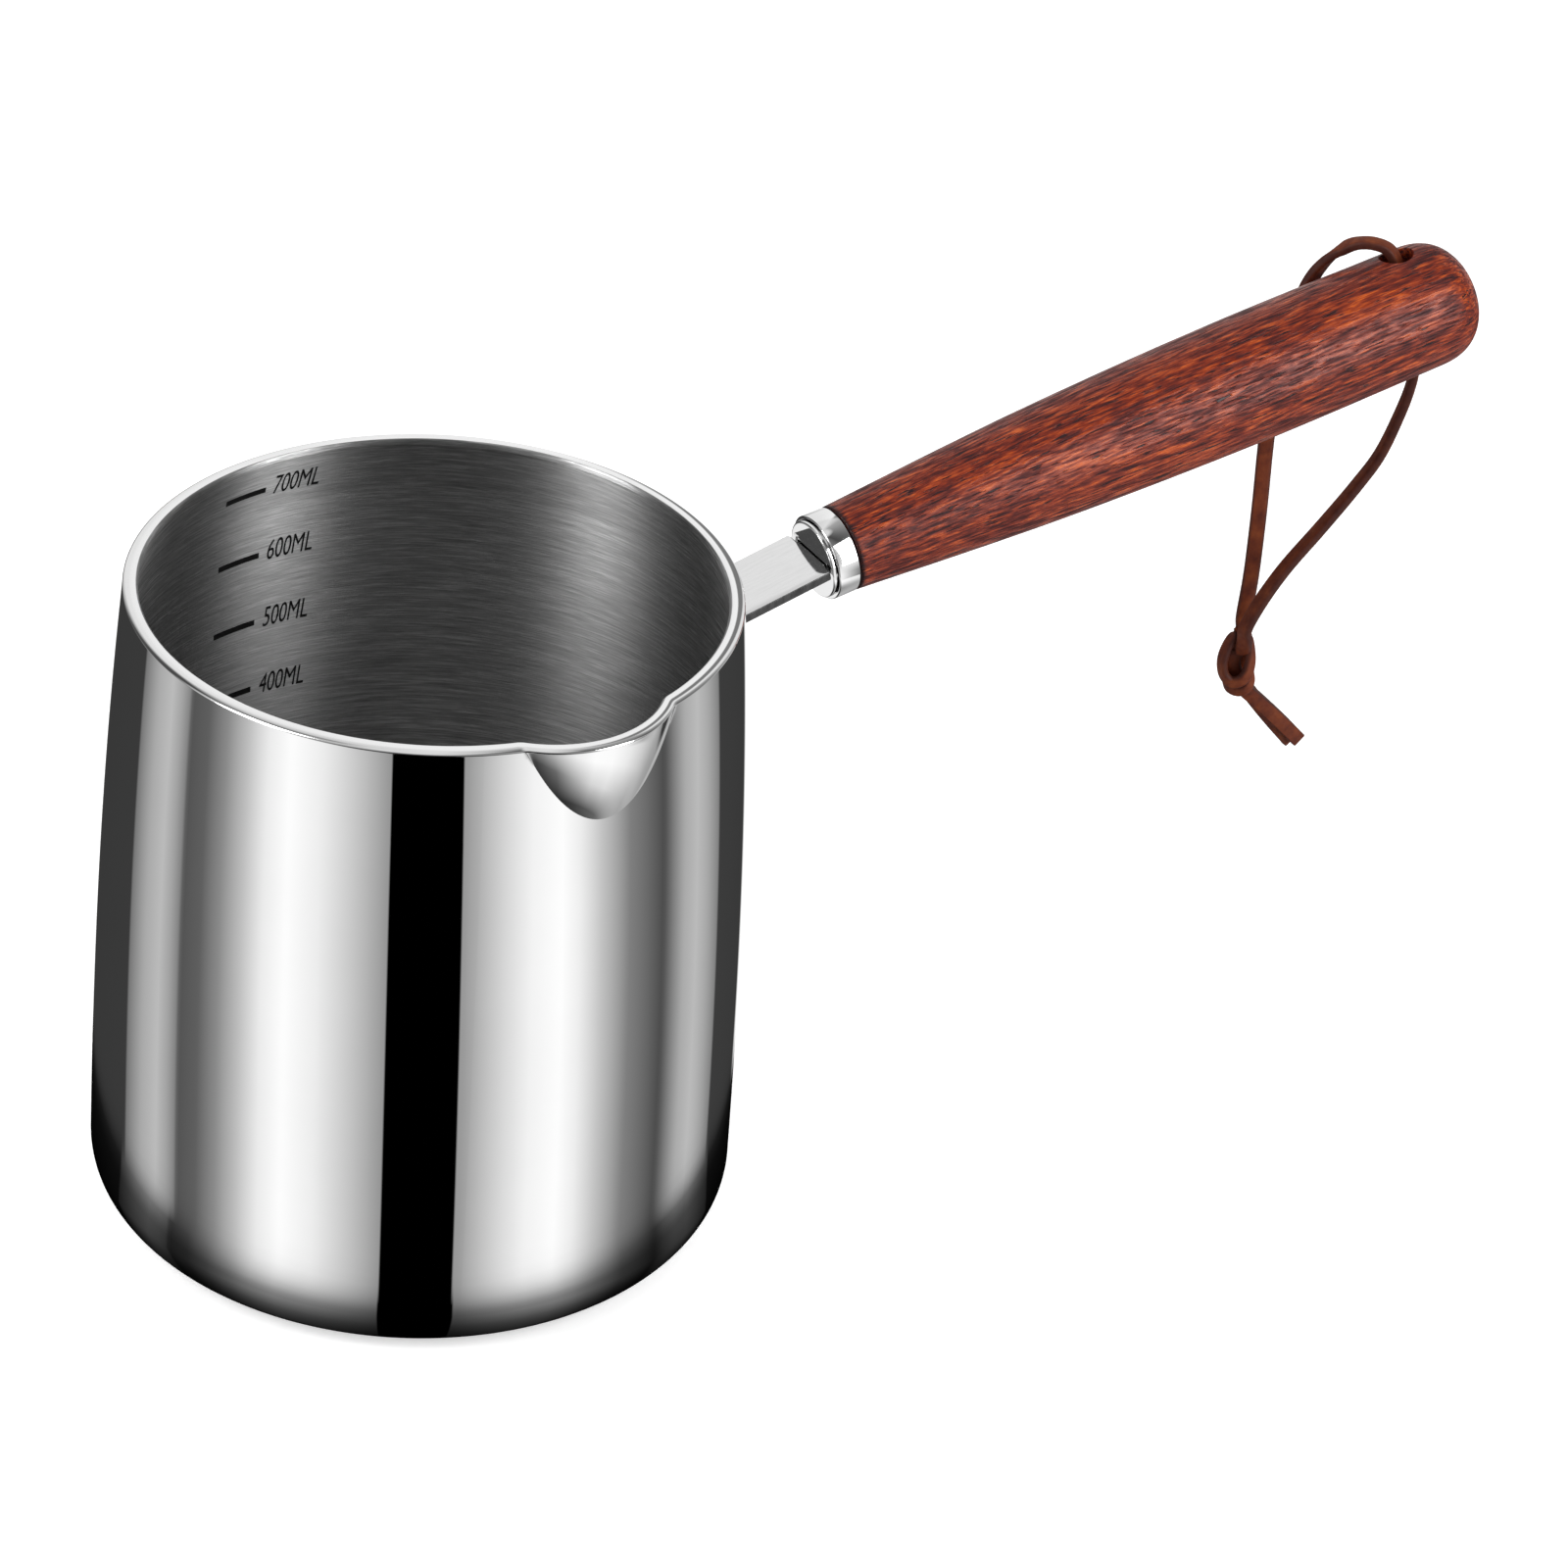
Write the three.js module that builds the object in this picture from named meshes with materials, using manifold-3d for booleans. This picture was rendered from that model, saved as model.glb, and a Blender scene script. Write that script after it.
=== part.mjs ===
// A small, deep saucepan: a pressed steel pan with a pouring lip, a strap bracket welded to its wall,
// a ferrule, a turned wooden grip on a threaded stud, and a knotted leather thong through the grip's tip.
// Millimetres, +Z up. The origin is the middle of the base, and the grip points along +X.

import * as THREE from 'three';
import { mergeVertices } from 'three/addons/utils/BufferGeometryUtils.js';
import Module from 'manifold-3d';

// Clearance between pieces that touch
const CLEARANCE = 0.3;

// Pan
const PAN_HEIGHT = 106;
const RIM_RADIUS = 46.3;
const BELLY_RADIUS = 49.7;
const BARREL_POWER = 2.35;
const BOTTOM_CORNER = 7.6;
const WALL = 1.0;
const BASE = 2.0;
const RIM_WIDTH = 2.35;
const RIM_TAPER = 10;
const RIM_OUTSIDE_EDGE = 1.2;
const RIM_INSIDE_EDGE = 0.3;

// Pouring lip, pressed out of the wall below the rim
const SPOUT_ANGLE = -86;
const SPOUT_HALF_ANGLE = 16.5;
const SPOUT_REACH = 3.5;
const SPOUT_DEPTH = 14.2;
const SPOUT_BULGE = 0.45;
const SPOUT_CREASE = 0.2;

// Handle line: its drop below the rim where it leaves the wall, and its rise
const HANDLE_DROP = 15.3;
const HANDLE_TILT = 9.6;

// Bracket: a strap with a foot that is bent down along the wall, and a tongue that enters the ferrule
const STRAP_WIDTH = 12.4;
const STRAP_THICKNESS = 1.5;
const STRAP_TILT = 15;
const STRAP_RISE = 0.65;
const BRACKET_REACH = 19.4;
const FOOT_LENGTH = 15;
const FOOT_BEND = 2.6;
const TONGUE_WIDTH = 8;
const TONGUE_THICKNESS = 1.3;
const TONGUE_ROOT = 0.6;
const WELD_LEG = 1.4;

// Ferrule: a boss in front of a ring, with a front wall and an open back
const BOSS_RADIUS = 6.3;
const BOSS_LENGTH = 0.8;
const RING_RADIUS = 6.9;
const RING_LENGTH = 3.7;
const FERRULE_EDGE = 0.5;
const FERRULE_FRONT_WALL = 2.6;
const FERRULE_SIDE_WALL = 1.6;

// Stud and the insert that it screws into
const STUD_RADIUS = 3;
const STUD_DEPTH = 24;
const STUD_POINT = 0.8;
const STUD_HEAD_RADIUS = 4.6;
const STUD_HEAD_LENGTH = 1.6;
const INSERT_WALL = 1.1;
const INSERT_LENGTH = 18;
const INSERT_SETBACK = 1.5;
const BORE_END = 4;

// Wooden grip, from its front face to its tip
const GRIP_LENGTH = 117.5;
const GRIP_FRONT_RADIUS = 6.9;
const GRIP_SHOULDER_RADIUS = 9.15;
const GRIP_SHOULDER_AT = 36.5;
const GRIP_PALM_RADIUS = 10.2;
const GRIP_PALM_AT = 73;
const GRIP_END_RADIUS = 10.1;
const GRIP_FRONT_EDGE = 0.4;
const TIP_LENGTH = 9;
const TIP_POWER = 2.6;
const HOLE_SETBACK = 11;
const HOLE_DIAMETER = 5.4;
const HOLE_ROLL = 12;

// Leather thong: a loop of two runs, its knot and two tails
const LACE_DIAMETER = 2.4;
const KNOT_RADIUS = 3.1;
const KNOT_LENGTH = 10.4;
const KNOT_FACE_RADIUS = 2.5;
const TAIL_WIDTH = 2.4;
const TAIL_THICKNESS = 1.3;

// Facets
const PAN_SEGMENTS = 80;
const PAN_ROWS = 6;
const SPOUT_ROWS = 6;
const CORNER_STEPS = 6;
const EDGE_STEPS = 3;
const RIM_STEPS = 5;
const HANDLE_SEGMENTS = 32;
const SMALL_SEGMENTS = 24;
const GRIP_ROWS = 14;
const TIP_ROWS = 7;
const STRAP_COLUMNS = 8;
const BEND_STEPS = 6;
const WELD_ROWS = 5;
const LACE_SIDES = 8;
const LACE_STEP = 3.1;
const KNOT_ROWS = 6;

// Finishes
const polishedSteel = new THREE.MeshStandardMaterial({ color: 0xc9cbce, roughness: 0.08, metalness: 1 });
const satinSteel = new THREE.MeshStandardMaterial({ color: 0xd8d9da, roughness: 0.35, metalness: 1 });
const weldSteel = new THREE.MeshStandardMaterial({ color: 0xa9a9a8, roughness: 0.45, metalness: 1 });
const zincSteel = new THREE.MeshStandardMaterial({ color: 0xb4b6b8, roughness: 0.4, metalness: 1 });
const brass = new THREE.MeshStandardMaterial({ color: 0xc7a252, roughness: 0.35, metalness: 1 });
const rosewood = new THREE.MeshStandardMaterial({ color: 0x7a3418, roughness: 0.4, metalness: 0 });
const leather = new THREE.MeshStandardMaterial({ color: 0x5e2c18, roughness: 0.65, metalness: 0 });

const wasm = await Module();
wasm.setup();

const { degToRad, clamp } = THREE.MathUtils;

// Booleans: a closed geometry as a solid, and a solid back as a geometry
function solidOf(geometry) {
  const bare = geometry.clone();
  bare.deleteAttribute('normal');
  bare.deleteAttribute('uv');
  const merged = mergeVertices(bare, 1e-4);
  const mesh = new wasm.Mesh({
    numProp: 3,
    vertProperties: new Float32Array(merged.attributes.position.array),
    triVerts: new Uint32Array(merged.index.array),
  });
  return new wasm.Manifold(mesh);
}

function geometryOf(solid) {
  const mesh = solid.getMesh();
  const geometry = new THREE.BufferGeometry();
  geometry.setAttribute('position', new THREE.BufferAttribute(new Float32Array(mesh.vertProperties), 3));
  geometry.setIndex(new THREE.BufferAttribute(new Uint32Array(mesh.triVerts), 1));
  geometry.computeVertexNormals();
  return geometry;
}

// Moves each vertex of a geometry by a function of its place
function reshape(geometry, move) {
  const position = geometry.attributes.position;
  const point = new THREE.Vector3();
  for (let i = 0; i < position.count; i += 1) {
    point.fromBufferAttribute(position, i);
    move(point);
    position.setXYZ(i, point.x, point.y, point.z);
  }
  geometry.computeVertexNormals();
  return geometry;
}

// Points of a quarter of an ellipse about a centre, from one angle in degrees to another
function arc(centreX, centreY, radiusX, radiusY, from, to, steps) {
  const points = [];
  for (let i = 0; i <= steps; i += 1) {
    const angle = degToRad(from + ((to - from) * i) / steps);
    points.push(new THREE.Vector2(centreX + radiusX * Math.cos(angle), centreY + radiusY * Math.sin(angle)));
  }
  return points;
}

// A turned piece along +X, from points of (radius, distance along the axis)
function turned(points, segments) {
  return new THREE.LatheGeometry(points, segments).rotateZ(-Math.PI / 2);
}

function piece(name, geometry, material) {
  const mesh = new THREE.Mesh(geometry, material);
  mesh.name = name;
  return mesh;
}

// Outside radius of the pan's wall at a height, without the pouring lip
function wallRadius(height) {
  const rise = clamp((height - BOTTOM_CORNER) / (PAN_HEIGHT - BOTTOM_CORNER), 0, 1);
  return BELLY_RADIUS - (BELLY_RADIUS - RIM_RADIUS) * rise ** BARREL_POWER;
}

// Thickness of the pan's wall at a height, which grows towards the rim
function wallThickness(height) {
  const share = clamp((height - PAN_HEIGHT + RIM_TAPER) / RIM_TAPER, 0, 1);
  return WALL + (RIM_WIDTH - WALL) * share;
}

// Heights of the rows of vertices between two heights
function rowHeights(from, to, count) {
  return Array.from({ length: count }, (_, i) => from + ((to - from) * (i + 1)) / count);
}

// How far the pouring lip is pressed out: a parabola across and a bulging slope down, creased into the wall
function spoutPush(angle, height) {
  const across = (THREE.MathUtils.euclideanModulo(angle - SPOUT_ANGLE + 180, 360) - 180) / SPOUT_HALF_ANGLE;
  const below = (PAN_HEIGHT - height) / SPOUT_DEPTH;
  const bulge = 1 + SPOUT_BULGE * clamp(below, 0, 1);
  const push = SPOUT_REACH * (1 - below - across * across) * bulge;
  const share = clamp(0.5 + (0.5 * push) / SPOUT_CREASE, 0, 1);
  return push * share + SPOUT_CREASE * share * (1 - share);
}

function panBody() {
  const spoutFoot = PAN_HEIGHT - SPOUT_DEPTH - SPOUT_CREASE;
  const rimInside = RIM_RADIUS - RIM_WIDTH;
  const outsideTop = PAN_HEIGHT - RIM_OUTSIDE_EDGE;
  const insideTop = PAN_HEIGHT - RIM_INSIDE_EDGE;
  const cornerCentre = BELLY_RADIUS - BOTTOM_CORNER;
  const outside = [
    ...rowHeights(BOTTOM_CORNER, spoutFoot, PAN_ROWS),
    ...rowHeights(spoutFoot, outsideTop, SPOUT_ROWS).slice(0, -1),
  ].map((height) => new THREE.Vector2(wallRadius(height), height));
  const inside = [
    ...rowHeights(BOTTOM_CORNER, spoutFoot, PAN_ROWS),
    ...rowHeights(spoutFoot, insideTop, SPOUT_ROWS).slice(0, -1),
  ].reverse().map((height) => new THREE.Vector2(wallRadius(height) - wallThickness(height), height));
  const profile = [
    new THREE.Vector2(0, 0),
    ...arc(cornerCentre, BOTTOM_CORNER, BOTTOM_CORNER, BOTTOM_CORNER, -90, 0, CORNER_STEPS),
    ...outside,
    ...arc(RIM_RADIUS - RIM_OUTSIDE_EDGE, outsideTop, RIM_OUTSIDE_EDGE, RIM_OUTSIDE_EDGE, 0, 90, RIM_STEPS),
    ...arc(rimInside + RIM_INSIDE_EDGE, insideTop, RIM_INSIDE_EDGE, RIM_INSIDE_EDGE, 90, 180, EDGE_STEPS),
    ...inside,
    ...arc(cornerCentre, BOTTOM_CORNER, BOTTOM_CORNER - WALL, BOTTOM_CORNER - BASE, 0, -90, CORNER_STEPS),
    new THREE.Vector2(0, BASE),
  ];
  const pan = new THREE.LatheGeometry(profile, PAN_SEGMENTS).rotateX(Math.PI / 2).rotateZ(degToRad(SPOUT_ANGLE));
  return reshape(pan, (point) => {
    const radius = Math.hypot(point.x, point.y);
    if (radius > cornerCentre) {
      const pressed = 1 + spoutPush(THREE.MathUtils.radToDeg(Math.atan2(point.y, point.x)), point.z) / radius;
      point.x *= pressed;
      point.y *= pressed;
    }
  });
}

// Places along the handle line, from the wall outwards
const handleHeight = PAN_HEIGHT - HANDLE_DROP;
const handleStart = wallRadius(handleHeight);
const bossFront = BRACKET_REACH + CLEARANCE;
const ringFront = bossFront + BOSS_LENGTH;
const ringBack = ringFront + RING_LENGTH;
const cavityFloor = bossFront + FERRULE_FRONT_WALL;
const gripFront = ringBack + CLEARANCE;
const gripTip = gripFront + GRIP_LENGTH;
const holeAt = gripTip - HOLE_SETBACK;

const handle = new THREE.Group();
handle.position.set(handleStart, 0, handleHeight);
handle.rotation.y = -degToRad(HANDLE_TILT);
handle.updateMatrixWorld();

// The strip's outline, seen from the side: a centre line thickened to both sides
function stripShape(centreLine, thickness) {
  const sides = [[], []];
  centreLine.forEach((point, i) => {
    const before = centreLine[Math.max(i - 1, 0)];
    const after = centreLine[Math.min(i + 1, centreLine.length - 1)];
    const along = after.clone().sub(before).normalize();
    const offset = new THREE.Vector2(-along.y, along.x).multiplyScalar(thickness / 2);
    sides[0].push(point.clone().add(offset));
    sides[1].unshift(point.clone().sub(offset));
  });
  return new THREE.Shape([...sides[0], ...sides[1]]);
}

// The strap's middle line rises more steeply than the handle line, and crosses it on its way to the ferrule
const strapAlong = new THREE.Vector2(Math.cos(degToRad(STRAP_TILT)), Math.sin(degToRad(STRAP_TILT)));
const strapEnd = new THREE.Vector3(BRACKET_REACH, 0, STRAP_RISE).applyMatrix4(handle.matrixWorld);
const strapStart = new THREE.Vector2(strapEnd.x, strapEnd.z).addScaledVector(strapAlong, -BRACKET_REACH);

// Lowest and highest height of the foot along the wall
const footTop = strapStart.y - STRAP_THICKNESS / 2;
const footBottom = footTop - FOOT_LENGTH;

function handleBracket() {
  const stand = CLEARANCE + STRAP_THICKNESS / 2;
  const foot = new THREE.Vector2(wallRadius(footBottom) + stand, footBottom);
  // The arm's end leans towards the ferrule, so it stops a little short
  const lean = (STRAP_THICKNESS / 2) * Math.sin(degToRad(STRAP_TILT - HANDLE_TILT));
  const armEnd = strapStart.clone().addScaledVector(strapAlong, BRACKET_REACH - lean);
  const up = new THREE.Vector2(wallRadius(footTop) + stand, footTop).sub(foot).normalize();
  // The corner where the foot's line meets the arm's line, rounded by the bend
  const gap = strapStart.clone().sub(foot);
  const rise = gap.cross(strapAlong) / up.cross(strapAlong);
  const corner = foot.clone().addScaledVector(up, rise);
  const turn = Math.acos(clamp(up.dot(strapAlong), -1, 1));
  const setback = FOOT_BEND * Math.tan(turn / 2);
  const bendStart = corner.clone().addScaledVector(up, -setback);
  const bendCentre = bendStart.clone().addScaledVector(new THREE.Vector2(up.y, -up.x), FOOT_BEND);
  const bend = [];
  for (let i = 0; i <= BEND_STEPS; i += 1) {
    bend.push(bendStart.clone().rotateAround(bendCentre, (-turn * i) / BEND_STEPS));
  }
  const strip = stripShape([foot, ...bend, armEnd], STRAP_THICKNESS);
  const strap = new THREE.ExtrudeGeometry(strip, { depth: STRAP_WIDTH, steps: STRAP_COLUMNS, bevelEnabled: false });
  strap.rotateX(Math.PI / 2).translate(0, STRAP_WIDTH / 2, 0);
  // The foot follows the round wall, and the arm is flat
  const footFace = corner.x + STRAP_THICKNESS / 2;
  reshape(strap, (point) => {
    const share = clamp(1 - (point.x - footFace) / FOOT_BEND, 0, 1);
    point.x -= share * (point.x - Math.sqrt(point.x ** 2 - point.y ** 2));
  });
  const tongueFrom = BRACKET_REACH - TONGUE_ROOT;
  const tongueLength = cavityFloor - tongueFrom;
  const tongue = new THREE.BoxGeometry(tongueLength, TONGUE_WIDTH, TONGUE_THICKNESS);
  tongue.translate(tongueFrom + tongueLength / 2, 0, STRAP_RISE).applyMatrix4(handle.matrixWorld);
  return geometryOf(solidOf(strap).add(solidOf(tongue)));
}

// A fillet of weld along one side of the foot, for side +1 or -1
function weldBead(side) {
  const inner = STRAP_WIDTH / 2 + CLEARANCE;
  const section = new THREE.Shape([
    new THREE.Vector2(0, side * inner),
    ...arc(0, side * inner, WELD_LEG, side * WELD_LEG, 0, 90, EDGE_STEPS),
  ]);
  const depth = FOOT_LENGTH - FOOT_BEND;
  const bead = new THREE.ExtrudeGeometry(section, { depth, steps: WELD_ROWS, bevelEnabled: false });
  return reshape(bead.translate(0, 0, footBottom), (point) => {
    const radius = wallRadius(point.z) + CLEARANCE + point.x;
    point.x = Math.sqrt(radius ** 2 - point.y ** 2);
  });
}

function ferrule() {
  const cavityRadius = RING_RADIUS - FERRULE_SIDE_WALL;
  const body = turned([
    new THREE.Vector2(0, bossFront),
    ...arc(BOSS_RADIUS - FERRULE_EDGE, bossFront + FERRULE_EDGE, FERRULE_EDGE, FERRULE_EDGE, -90, 0, EDGE_STEPS),
    new THREE.Vector2(BOSS_RADIUS, ringFront),
    ...arc(RING_RADIUS - FERRULE_EDGE, ringFront + FERRULE_EDGE, FERRULE_EDGE, FERRULE_EDGE, -90, 0, EDGE_STEPS),
    new THREE.Vector2(RING_RADIUS, ringBack),
    new THREE.Vector2(cavityRadius, ringBack),
    new THREE.Vector2(cavityRadius, cavityFloor),
    new THREE.Vector2(0, cavityFloor),
  ], HANDLE_SEGMENTS);
  const slot = new THREE.BoxGeometry(
    4 * FERRULE_FRONT_WALL,
    TONGUE_WIDTH + 2 * CLEARANCE,
    TONGUE_THICKNESS + 2 * CLEARANCE,
  ).translate(bossFront, 0, STRAP_RISE);
  return geometryOf(solidOf(body).subtract(solidOf(slot)));
}

function handleStud() {
  const headFront = cavityFloor + CLEARANCE;
  const headBack = headFront + STUD_HEAD_LENGTH;
  const end = gripFront + STUD_DEPTH;
  return turned([
    new THREE.Vector2(0, headFront),
    new THREE.Vector2(STUD_HEAD_RADIUS, headFront),
    new THREE.Vector2(STUD_HEAD_RADIUS, headBack),
    new THREE.Vector2(STUD_RADIUS, headBack),
    new THREE.Vector2(STUD_RADIUS, end - STUD_POINT),
    new THREE.Vector2(STUD_RADIUS - STUD_POINT, end),
    new THREE.Vector2(0, end),
  ], SMALL_SEGMENTS);
}

const insertBore = STUD_RADIUS + CLEARANCE;
const insertRadius = insertBore + INSERT_WALL;
const insertFront = gripFront + INSERT_SETBACK;
const gripBore = insertRadius + CLEARANCE;
const gripBoreEnd = gripFront + Math.max(STUD_DEPTH, INSERT_SETBACK + INSERT_LENGTH) + BORE_END;

function threadedInsert() {
  return turned([
    new THREE.Vector2(insertBore, insertFront),
    new THREE.Vector2(insertRadius, insertFront),
    new THREE.Vector2(insertRadius, insertFront + INSERT_LENGTH),
    new THREE.Vector2(insertBore, insertFront + INSERT_LENGTH),
    new THREE.Vector2(insertBore, insertFront),
  ], SMALL_SEGMENTS);
}

// The grip's outside: a smooth curve through its radii, then a rounded tip
function gripOutside() {
  const tipStart = gripTip - TIP_LENGTH;
  const side = new THREE.SplineCurve([
    new THREE.Vector2(GRIP_FRONT_RADIUS, gripFront + GRIP_FRONT_EDGE),
    new THREE.Vector2(GRIP_SHOULDER_RADIUS, gripFront + GRIP_SHOULDER_AT),
    new THREE.Vector2(GRIP_PALM_RADIUS, gripFront + GRIP_PALM_AT),
    new THREE.Vector2(GRIP_END_RADIUS, tipStart),
  ]).getPoints(GRIP_ROWS);
  const tip = [];
  for (let i = 1; i <= TIP_ROWS; i += 1) {
    // Rows draw closer together towards the tip, where the outline turns in
    const along = Math.sin((i / TIP_ROWS) * (Math.PI / 2));
    const radius = GRIP_END_RADIUS * Math.max(1 - along ** TIP_POWER, 0) ** (1 / TIP_POWER);
    tip.push(new THREE.Vector2(radius, tipStart + TIP_LENGTH * along));
  }
  return [...side, ...tip];
}

// Frame of the hanging hole: its origin in the middle of the grip, its Z along the hole
const hole = new THREE.Group();
hole.position.set(holeAt, 0, 0);
hole.rotation.x = -degToRad(HOLE_ROLL);
hole.updateMatrix();

function woodenGrip() {
  const body = turned([
    new THREE.Vector2(0, gripBoreEnd),
    new THREE.Vector2(gripBore, gripBoreEnd),
    new THREE.Vector2(gripBore, gripFront),
    new THREE.Vector2(GRIP_FRONT_RADIUS - GRIP_FRONT_EDGE, gripFront),
    ...gripOutside(),
  ], HANDLE_SEGMENTS);
  const drill = new THREE.CylinderGeometry(HOLE_DIAMETER / 2, HOLE_DIAMETER / 2, 4 * GRIP_PALM_RADIUS, SMALL_SEGMENTS);
  drill.rotateX(Math.PI / 2).applyMatrix4(hole.matrix);
  return geometryOf(solidOf(body).subtract(solidOf(drill)));
}

// Thong points, from the middle of the hanging hole: along the grip, across it and above its axis
const backRunPoints = [
  [0, 0.05, CLEARANCE / 2],
  [0.2, 1.0, 4.8],
  [-0.1, 2.0, 8.8],
  [-1.0, 2.8, 11.0],
  [-3.0, 4.2, 12.2],
  [-4.9, 6.0, 12.0],
  [-6.4, 8.2, 10.3],
  [-8.2, 10.3, 7.6],
  [-10.1, 11.9, 3.8],
  [-13.3, 12.5, -3.3],
  [-17.3, 12.6, -13.2],
  [-20.45, 10.95, -22.9],
  [-23.85, 8.55, -33.2],
  [-27.8, 5.8, -43.2],
  [-31.0, 3.7, -49.4],
  [-31.05, 3.65, -50.8],
];
const frontRunPoints = [
  [0, -0.05, -CLEARANCE / 2],
  [0, -1.0, -5.0],
  [0.1, -2.0, -9.6],
  [-1.0, -2.1, -13.2],
  [-3.4, -1.8, -18.4],
  [-6.9, -1.3, -24.4],
  [-11.2, -0.8, -28.8],
  [-17.7, -0.3, -34.2],
  [-25.1, 0.3, -40.1],
  [-30.1, 0.7, -45.4],
  [-32.5, 1.1, -49.4],
  [-32.55, 1.1, -50.8],
];
const knotTop = [-33.1, 2.6, -51.1];
// Where each tail leaves the knot's lower face, from that face's middle, and where it runs to
const tails = {
  thong_tail_long: { leaves: [0.6, -0.8], runs: [9.8, -14.6] },
  thong_tail_short: { leaves: [1.3, 0.8], runs: [8.4, -15.3] },
};

// A tube of lace along a run
function laceRun(points) {
  const run = new THREE.CatmullRomCurve3(points.map((point) => new THREE.Vector3(...point)));
  const section = new THREE.Shape(
    arc(0, 0, LACE_DIAMETER / 2, LACE_DIAMETER / 2, 0, 360, LACE_SIDES).slice(0, -1),
  );
  const steps = Math.round(run.getLength() / LACE_STEP);
  return new THREE.ExtrudeGeometry(section, { extrudePath: run, steps, bevelEnabled: false });
}

// The knot as a barrel, with a flat face at each end for what leaves it
function thongKnot() {
  const bulge = [];
  for (let i = 0; i <= KNOT_ROWS; i += 1) {
    const angle = (Math.PI * i) / KNOT_ROWS;
    const radius = KNOT_FACE_RADIUS + (KNOT_RADIUS - KNOT_FACE_RADIUS) * Math.sin(angle);
    bulge.push(new THREE.Vector2(radius, -KNOT_LENGTH + (KNOT_LENGTH * i) / KNOT_ROWS));
  }
  const barrel = [new THREE.Vector2(0, -KNOT_LENGTH), ...bulge, new THREE.Vector2(0, 0)];
  return new THREE.LatheGeometry(barrel, SMALL_SEGMENTS).rotateX(Math.PI / 2);
}

// A cut end of the lace, a flat strip that slants away below the knot's lower face
function laceTail({ leaves, runs }) {
  const length = Math.hypot(...runs);
  const strip = new THREE.BoxGeometry(TAIL_WIDTH, TAIL_THICKNESS, length).translate(0, 0, length / 2);
  strip.rotateY(Math.atan2(runs[0], runs[1]));
  const cornerRise = (TAIL_WIDTH / 2) * (runs[0] / length);
  return strip.translate(leaves[0], leaves[1], -KNOT_LENGTH - CLEARANCE - cornerRise);
}

const thong = new THREE.Group();
thong.position.set(holeAt, 0, 0);
thong.add(piece('thong_back_run', laceRun(backRunPoints), leather.clone()));
thong.add(piece('thong_front_run', laceRun(frontRunPoints), leather.clone()));
const knot = new THREE.Group();
knot.position.set(...knotTop);
knot.add(piece('thong_knot', thongKnot(), leather.clone()));
for (const [name, tail] of Object.entries(tails)) {
  knot.add(piece(name, laceTail(tail), leather.clone()));
}
thong.add(knot);

handle.add(piece('ferrule', ferrule(), polishedSteel.clone()));
handle.add(piece('handle_stud', handleStud(), zincSteel));
handle.add(piece('threaded_insert', threadedInsert(), brass));
handle.add(piece('wooden_grip', woodenGrip(), rosewood));
handle.add(thong);

const saucepan = new THREE.Group();
saucepan.name = 'saucepan';
saucepan.add(piece('pan_body', panBody(), polishedSteel));
saucepan.add(piece('handle_bracket', handleBracket(), satinSteel));
saucepan.add(piece('weld_bead_left', weldBead(1), weldSteel.clone()));
saucepan.add(piece('weld_bead_right', weldBead(-1), weldSteel));
saucepan.add(handle);

export default saucepan;
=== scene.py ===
"""A small saucepan with a pouring lip, a wooden grip and a leather thong, dressed around its solids."""

import math

import bmesh
import bpy
from mathutils import Matrix, Vector


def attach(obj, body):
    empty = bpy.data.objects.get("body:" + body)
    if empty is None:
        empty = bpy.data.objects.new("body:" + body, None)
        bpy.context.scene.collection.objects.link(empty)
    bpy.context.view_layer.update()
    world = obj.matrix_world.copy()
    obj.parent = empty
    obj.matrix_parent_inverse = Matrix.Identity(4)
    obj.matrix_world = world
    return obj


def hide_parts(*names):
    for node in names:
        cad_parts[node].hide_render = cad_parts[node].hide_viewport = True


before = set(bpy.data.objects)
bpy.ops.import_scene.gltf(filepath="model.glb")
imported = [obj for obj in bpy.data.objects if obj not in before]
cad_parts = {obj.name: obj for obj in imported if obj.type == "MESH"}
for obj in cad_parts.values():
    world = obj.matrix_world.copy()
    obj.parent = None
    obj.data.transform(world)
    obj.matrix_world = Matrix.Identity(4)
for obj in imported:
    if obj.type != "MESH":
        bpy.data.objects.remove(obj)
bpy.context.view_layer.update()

MM = 0.001
GAP = 0.3

# Pan, in millimetres and degrees
PAN_HEIGHT = 106.0
RIM_RADIUS = 46.3
BELLY_RADIUS = 49.7
BARREL_POWER = 2.35
BOTTOM_CORNER = 7.6
WALL = 1.0
BASE = 2.0
RIM_WIDTH = 2.35
RIM_TAPER = 10.0
RIM_OUTSIDE_EDGE = (1.2, 0.6)
RIM_INSIDE_EDGE = (0.4, 0.9)
SPOUT_ANGLE = -86.0
SPOUT_HALF_ANGLE = 16.5
SPOUT_REACH = 3.5
SPOUT_DEPTH = 14.2
SPOUT_BULGE = 0.45
SPOUT_SOFTNESS = 0.35
SPOUT_SOFT_ZONE = 3.0
SPOUT_LEAST_SOFT = 0.01

# Handle line, bracket and welds
HANDLE_DROP = 15.3
HANDLE_TILT = math.radians(9.6)
STRAP_WIDTH = 12.4
STRAP_THICKNESS = 1.5
STRAP_TILT = math.radians(15)
STRAP_RISE = 0.65
STRAP_EDGE = 0.16
STRAP_END_INSET = 0.06
STRAP_END_SHARE = (0.98, 0.8)
BRACKET_REACH = 19.4
FOOT_LENGTH = 15.0
FOOT_BEND = 2.6
TONGUE_WIDTH = 8.0
TONGUE_THICKNESS = 1.3
TONGUE_EDGE = 0.2
SHEARED_SIDE = 0.5
WELD_LEG = 1.4
WELD_PITCH = 1.15
WELD_RIPPLE = 0.06
WELD_SINK = 0.08
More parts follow.
